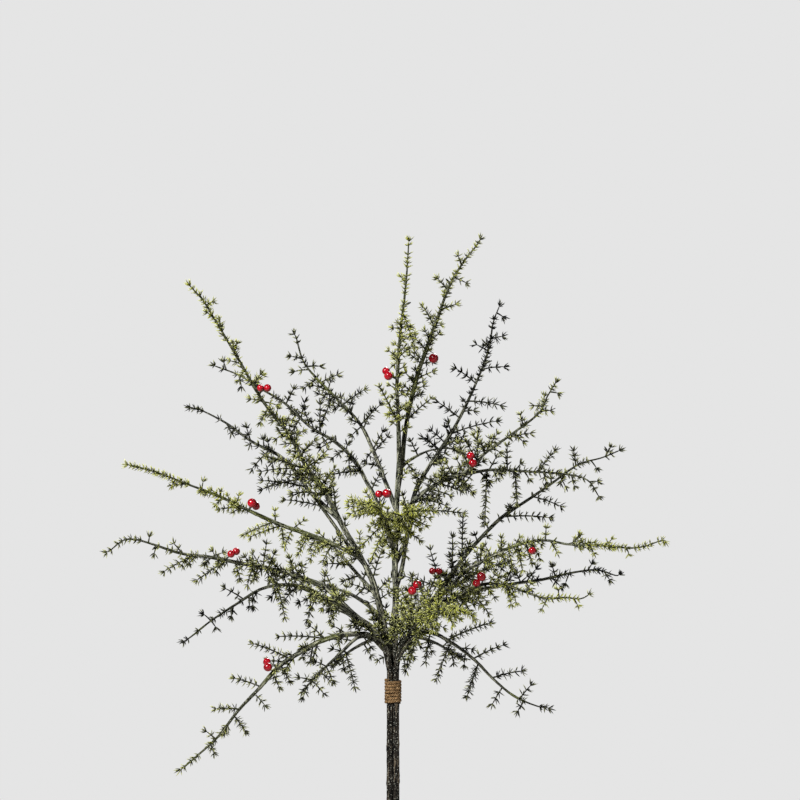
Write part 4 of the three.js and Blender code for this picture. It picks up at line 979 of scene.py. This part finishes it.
def add_whorl(shape, path, share, radius, tone, last, reach, chance):
    """A whorl of needles round a twig or branch, clear of the berries."""
    centre = path.at(share)
    if any(hides(centre, middle, size) for middle, size in berries):
        return
    tangent, across, up = path.sides(share)
    count = chance.choice(WHORL_NEEDLES)
    start_turn = chance.uniform(0, 2 * math.pi)
    for k in range(count + (2 if last else 0)):
        turn = start_turn + 2 * math.pi * (k + chance.uniform(-0.25, 0.25)) / count
        out = across * math.cos(turn) + up * math.sin(turn)
        lean = math.radians(chance.uniform(18, 75) if last else chance.uniform(50, 98) * (0.5 + reach / 2))
        length = chance.uniform(*NEEDLE_LENGTHS) * reach
        own = max(0, tone + chance.uniform(-0.4, 0.4))
        root = centre + out * radius * 0.7 + tangent * chance.uniform(-0.7, 0.7)
        tip = root + (tangent * math.cos(lean) + out * math.sin(lean)) * length
        if all((tip - middle).length > size + 0.3 for middle, size in berries):
            add_needle(shape, root, out, tangent, lean, length, own)


NEEDLES = needle_green()
for stem, branches in STEMS.items():
    chance = random.Random("needles " + stem)
    tufts = Shape()
    for name, branch in branches.items():
        path = paths[name]
        bushy = sum(branch["tones"]) / 2
        first = branch.get("first", 0.4 - 0.2 * bushy)
        count = max(0, round(path.length * (1 - first) / BRANCH_WHORL_STEP * (0.9 + 0.35 * bushy)))
        for i in range(1, count + 1):
            share = first + (1 - first) * (i / count) - TIP_GAP / path.length
            bare = noise.noise(path.at(share) * 0.12) >= -0.06 + 0.2 * bushy + 0.5 * max(0, share - 0.6)
            last = i == count
            if last or not bare:
                reach = 1 - (0.08 if last else 0.25) * share
                radius, tone = (blend(branch[title], share) for title in ("radii", "tones"))
                add_whorl(tufts, path, share, radius, tone, last, reach, chance)
        for twig, tone in twigs[name]:
            count = max(1, round((twig.length - 2) / (TWIG_WHORL_STEP * (1 - 0.36 * tone))))
            for i in range(1, count + 1):
                share = i / count - TIP_GAP / twig.length
                reach = 1.02 - 0.22 * tone
                add_whorl(tufts, twig, share, blend(TWIG_RADII, share), tone, i == count, reach, chance)
    piece = tufts.build("needles_" + stem, NEEDLES)
    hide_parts("leafy_stem_" + stem)
    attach(piece, "root")

# The tie: jute twine of three twisted strands, wound seven times round the four stems, held by its own
# turns, with loose fibres standing off it.
TIE_BOTTOM = 308
TWINE_PITCH = 3.1
TWINE_HALF_HEIGHT = 1.38
TWINE_HALF_DEPTH = 1.0
TWIST_LENGTH = 7.5
STRAND_CORNERS = 7
STRAND_DEPTH = 0.72
STRAND_HEIGHT = 0.78
TWINE_STEP = 0.7
FIBRES = 150
FIBRE_RADIUS = 0.07


def jute():
    made, tree, shader = finish("jute", Specular_IOR_Level=0.1)
    straight = marked(tree, "straight", "Vector")
    long = node(tree, "Mapping", {"Vector": straight, "Scale": (1, 1, 0.1)}).outputs["Vector"]
    hairs = patches(tree, long, 2600, 0.36, 0.25, 4)
    colour = between(tree, hairs, "3f2b19", "a8845a")
    colour = between(tree, patches(tree, straight, 220, 0.52, 0.2), colour, "775a3a")
    colour = between(tree, patches(tree, long, 3400, 0.6, 0.06), colour, "d2b78c")
    surface(tree, shader, colour, ranged(tree, hairs, 0, 1, 0.98, 0.82), hairs, 0.0003)
    return made


def twine_at(turn):
    """The middle of the twine after so many turns, and the way out from the bundle there."""
    bundle = stem_radius((TIE_BOTTOM + TIE_TOP) / 2) + STEM_GAP
    bend = stem_radius(TIE_BOTTOM) + 0.6 + TWINE_HALF_DEPTH
    straight, round_part = 2 * bundle, bend * math.pi / 2
    goal = (turn % 1) * 4 * (straight + round_part)
    quarter = int(goal // (straight + round_part))
    rest = goal - quarter * (straight + round_part)
    angle = quarter * math.pi / 2 + min(rest / round_part, 1) * math.pi / 2
    heading = quarter * math.pi / 2 + math.pi / 4
    out = Vector((math.cos(angle), math.sin(angle), 0))
    corner = Vector((math.cos(heading), math.sin(heading), 0)) * bundle * math.sqrt(2)
    onwards = Vector((-math.sin(angle), math.cos(angle), 0)) * max(0, rest - round_part)
    height = TIE_BOTTOM - 0.6 + TWINE_HALF_HEIGHT + turn * TWINE_PITCH
    return corner + out * bend + onwards + Vector((0, 0, height)), out, 4 * (straight + round_part)


chance = random.Random("twine")
twine = Shape()
around = twine_at(0)[2]
turns = (TIE_TOP - TIE_BOTTOM + 1.4 - 2 * TWINE_HALF_HEIGHT) / TWINE_PITCH
stations = round(turns * around / TWINE_STEP)
for strand in range(3):
    rows = []
    for i in range(stations + 1):
        middle, out, _ = twine_at(turns * i / stations)
        gone = turns * around * i / stations
        twist = 2 * math.pi * (gone / TWIST_LENGTH + strand / 3)
        end = min(1, 0.35 + 0.65 * min(i, stations - i) / 5)
        sway = 0.5 * end * noise.noise(Vector((gone * 0.11, 5, 2)))
        centre = middle + out * 0.5 * end * math.cos(twist)
        centre.z += STRAND_HEIGHT * end * math.sin(twist) + sway
        row = []
        for k in range(STRAND_CORNERS):
            turn = -2 * math.pi * k / STRAND_CORNERS
            uneven = end * (1 + 0.3 * noise.noise(Vector((gone * 0.7, strand * 9, k * 1.7))))
            offset = out * STRAND_DEPTH * uneven * math.cos(turn)
            offset.z += STRAND_HEIGHT * uneven * math.sin(turn)
            straight = Vector((math.cos(turn + twist), math.sin(turn + twist) + 9 * strand, gone))
            row.append(twine.add(centre + offset, straight=straight))
        rows.append(row)
    twine.skin(rows)
for _ in range(FIBRES):
    middle, out, _ = twine_at(chance.uniform(0, turns))
    root = middle + out * 0.8 + Vector((0, 0, chance.uniform(-0.9, 0.9)))
    sideways = Vector((-out.y, out.x, 0)) * chance.choice((-1, 1))
    knee = root + sideways * chance.uniform(0.8, 2) + out * chance.uniform(0.1, 0.5)
    tip = knee + sideways * chance.uniform(0, 1.6) + out * chance.uniform(0, 0.9)
    tip.z += chance.uniform(-1.2, 1.2)
    hair = Path([root, *curve(root, knee, tip, steps=5)])
    rows = []
    for i in range(6):
        _, across, up = hair.sides(i / 5)
        radius = FIBRE_RADIUS * (1.1 - i / 5)
        straight = Vector((0, 0, hair.length * i / 5))
        ways = [across * math.cos(t) + up * math.sin(t) for t in (0, 2 * math.pi / 3, 4 * math.pi / 3)]
        rows.append([twine.add(hair.at(i / 5) + way * radius, straight=straight) for way in ways])
    twine.skin(rows)
piece = twine.build("jute_twine", jute())
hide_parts("jute_tie")
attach(piece, "root")

# The studio: a pale floor that runs out into an even grey backdrop, a large soft light from the upper left
# in front and a weaker one from the right, and a long lens level with the middle of the picture.
BACKDROP = 0.783
FLOOR_RADIUS = 1.45
FLOOR_SIDES = 64


def floor_paint():
    made, tree, shader = finish("floor_paint", Roughness=0.7)
    place = node(tree, "TexCoord").outputs["Object"]
    pale = between(tree, patches(tree, place, 6, 0.35, 0.3), "a9a9a9", "ababab")
    tree.links.new(pale, shader.inputs["Base Color"])
    away = node(tree, "VectorMath", {0: place}, operation="LENGTH").outputs["Value"]
    glow = node(tree, "Emission", {"Color": (BACKDROP, BACKDROP, BACKDROP, 1)}).outputs["Emission"]
    fade = ranged(tree, away, 0.35, 1.35)
    mixed = node(tree, "MixShader", {0: fade, 1: shader.outputs["BSDF"], 2: glow})
    tree.links.new(mixed.outputs["Shader"], tree.nodes["Material Output"].inputs["Surface"])
    return made


disc = Shape()
rows = []
for radius in (0.05, 0.35, 0.7, 1.05, FLOOR_RADIUS):
    turns = [2 * math.pi * k / FLOOR_SIDES for k in range(FLOOR_SIDES)]
    rows.append([disc.add(Vector((radius * math.cos(t), radius * math.sin(t), 0)) / MM) for t in turns])
disc.skin(rows[::-1], ends=False)
disc.faces.append(tuple(rows[0]))
floor = disc.build("studio_floor", floor_paint())

world = bpy.data.worlds.new("studio")
world.use_nodes = True
bpy.context.scene.world = world
seen = node(world.node_tree, "LightPath").outputs["Is Camera Ray"]
strength = node(world.node_tree, "MapRange", {"Value": seen, "To Min": 0.05, "To Max": BACKDROP})
background = world.node_tree.nodes["Background"]
background.inputs["Color"].default_value = (1, 1, 1, 1)
world.node_tree.links.new(strength.outputs["Result"], background.inputs["Strength"])

for name, place, size, power in (
    ("key", (-2.2, -2.9, 2.9), 0.9, 400),
    ("fill", (2.9, -2.4, 1.3), 1.6, 18),
    ("rim", (0.6, 3.0, 2.6), 1.2, 110),
):
    lamp = bpy.data.lights.new(name, "AREA")
    lamp.size = size
    lamp.energy = power
    light = bpy.data.objects.new(name, lamp)
    light.location = place
    light.rotation_euler = (Vector((0, 0, 0.5)) - light.location).to_track_quat("-Z", "Y").to_euler()
    light.visible_camera = False
    bpy.context.scene.collection.objects.link(light)

bpy.context.scene.view_settings.view_transform = "Standard"
lens = bpy.data.cameras.new("photograph")
lens.lens = 450
lens.sensor_width = 36
lens.clip_end = 100
camera = bpy.data.objects.new("photograph", lens)
camera.location = (0.007, -10, 0.612)
camera.rotation_euler = (math.pi / 2, 0, 0)
bpy.context.scene.collection.objects.link(camera)
bpy.context.scene.camera = camera
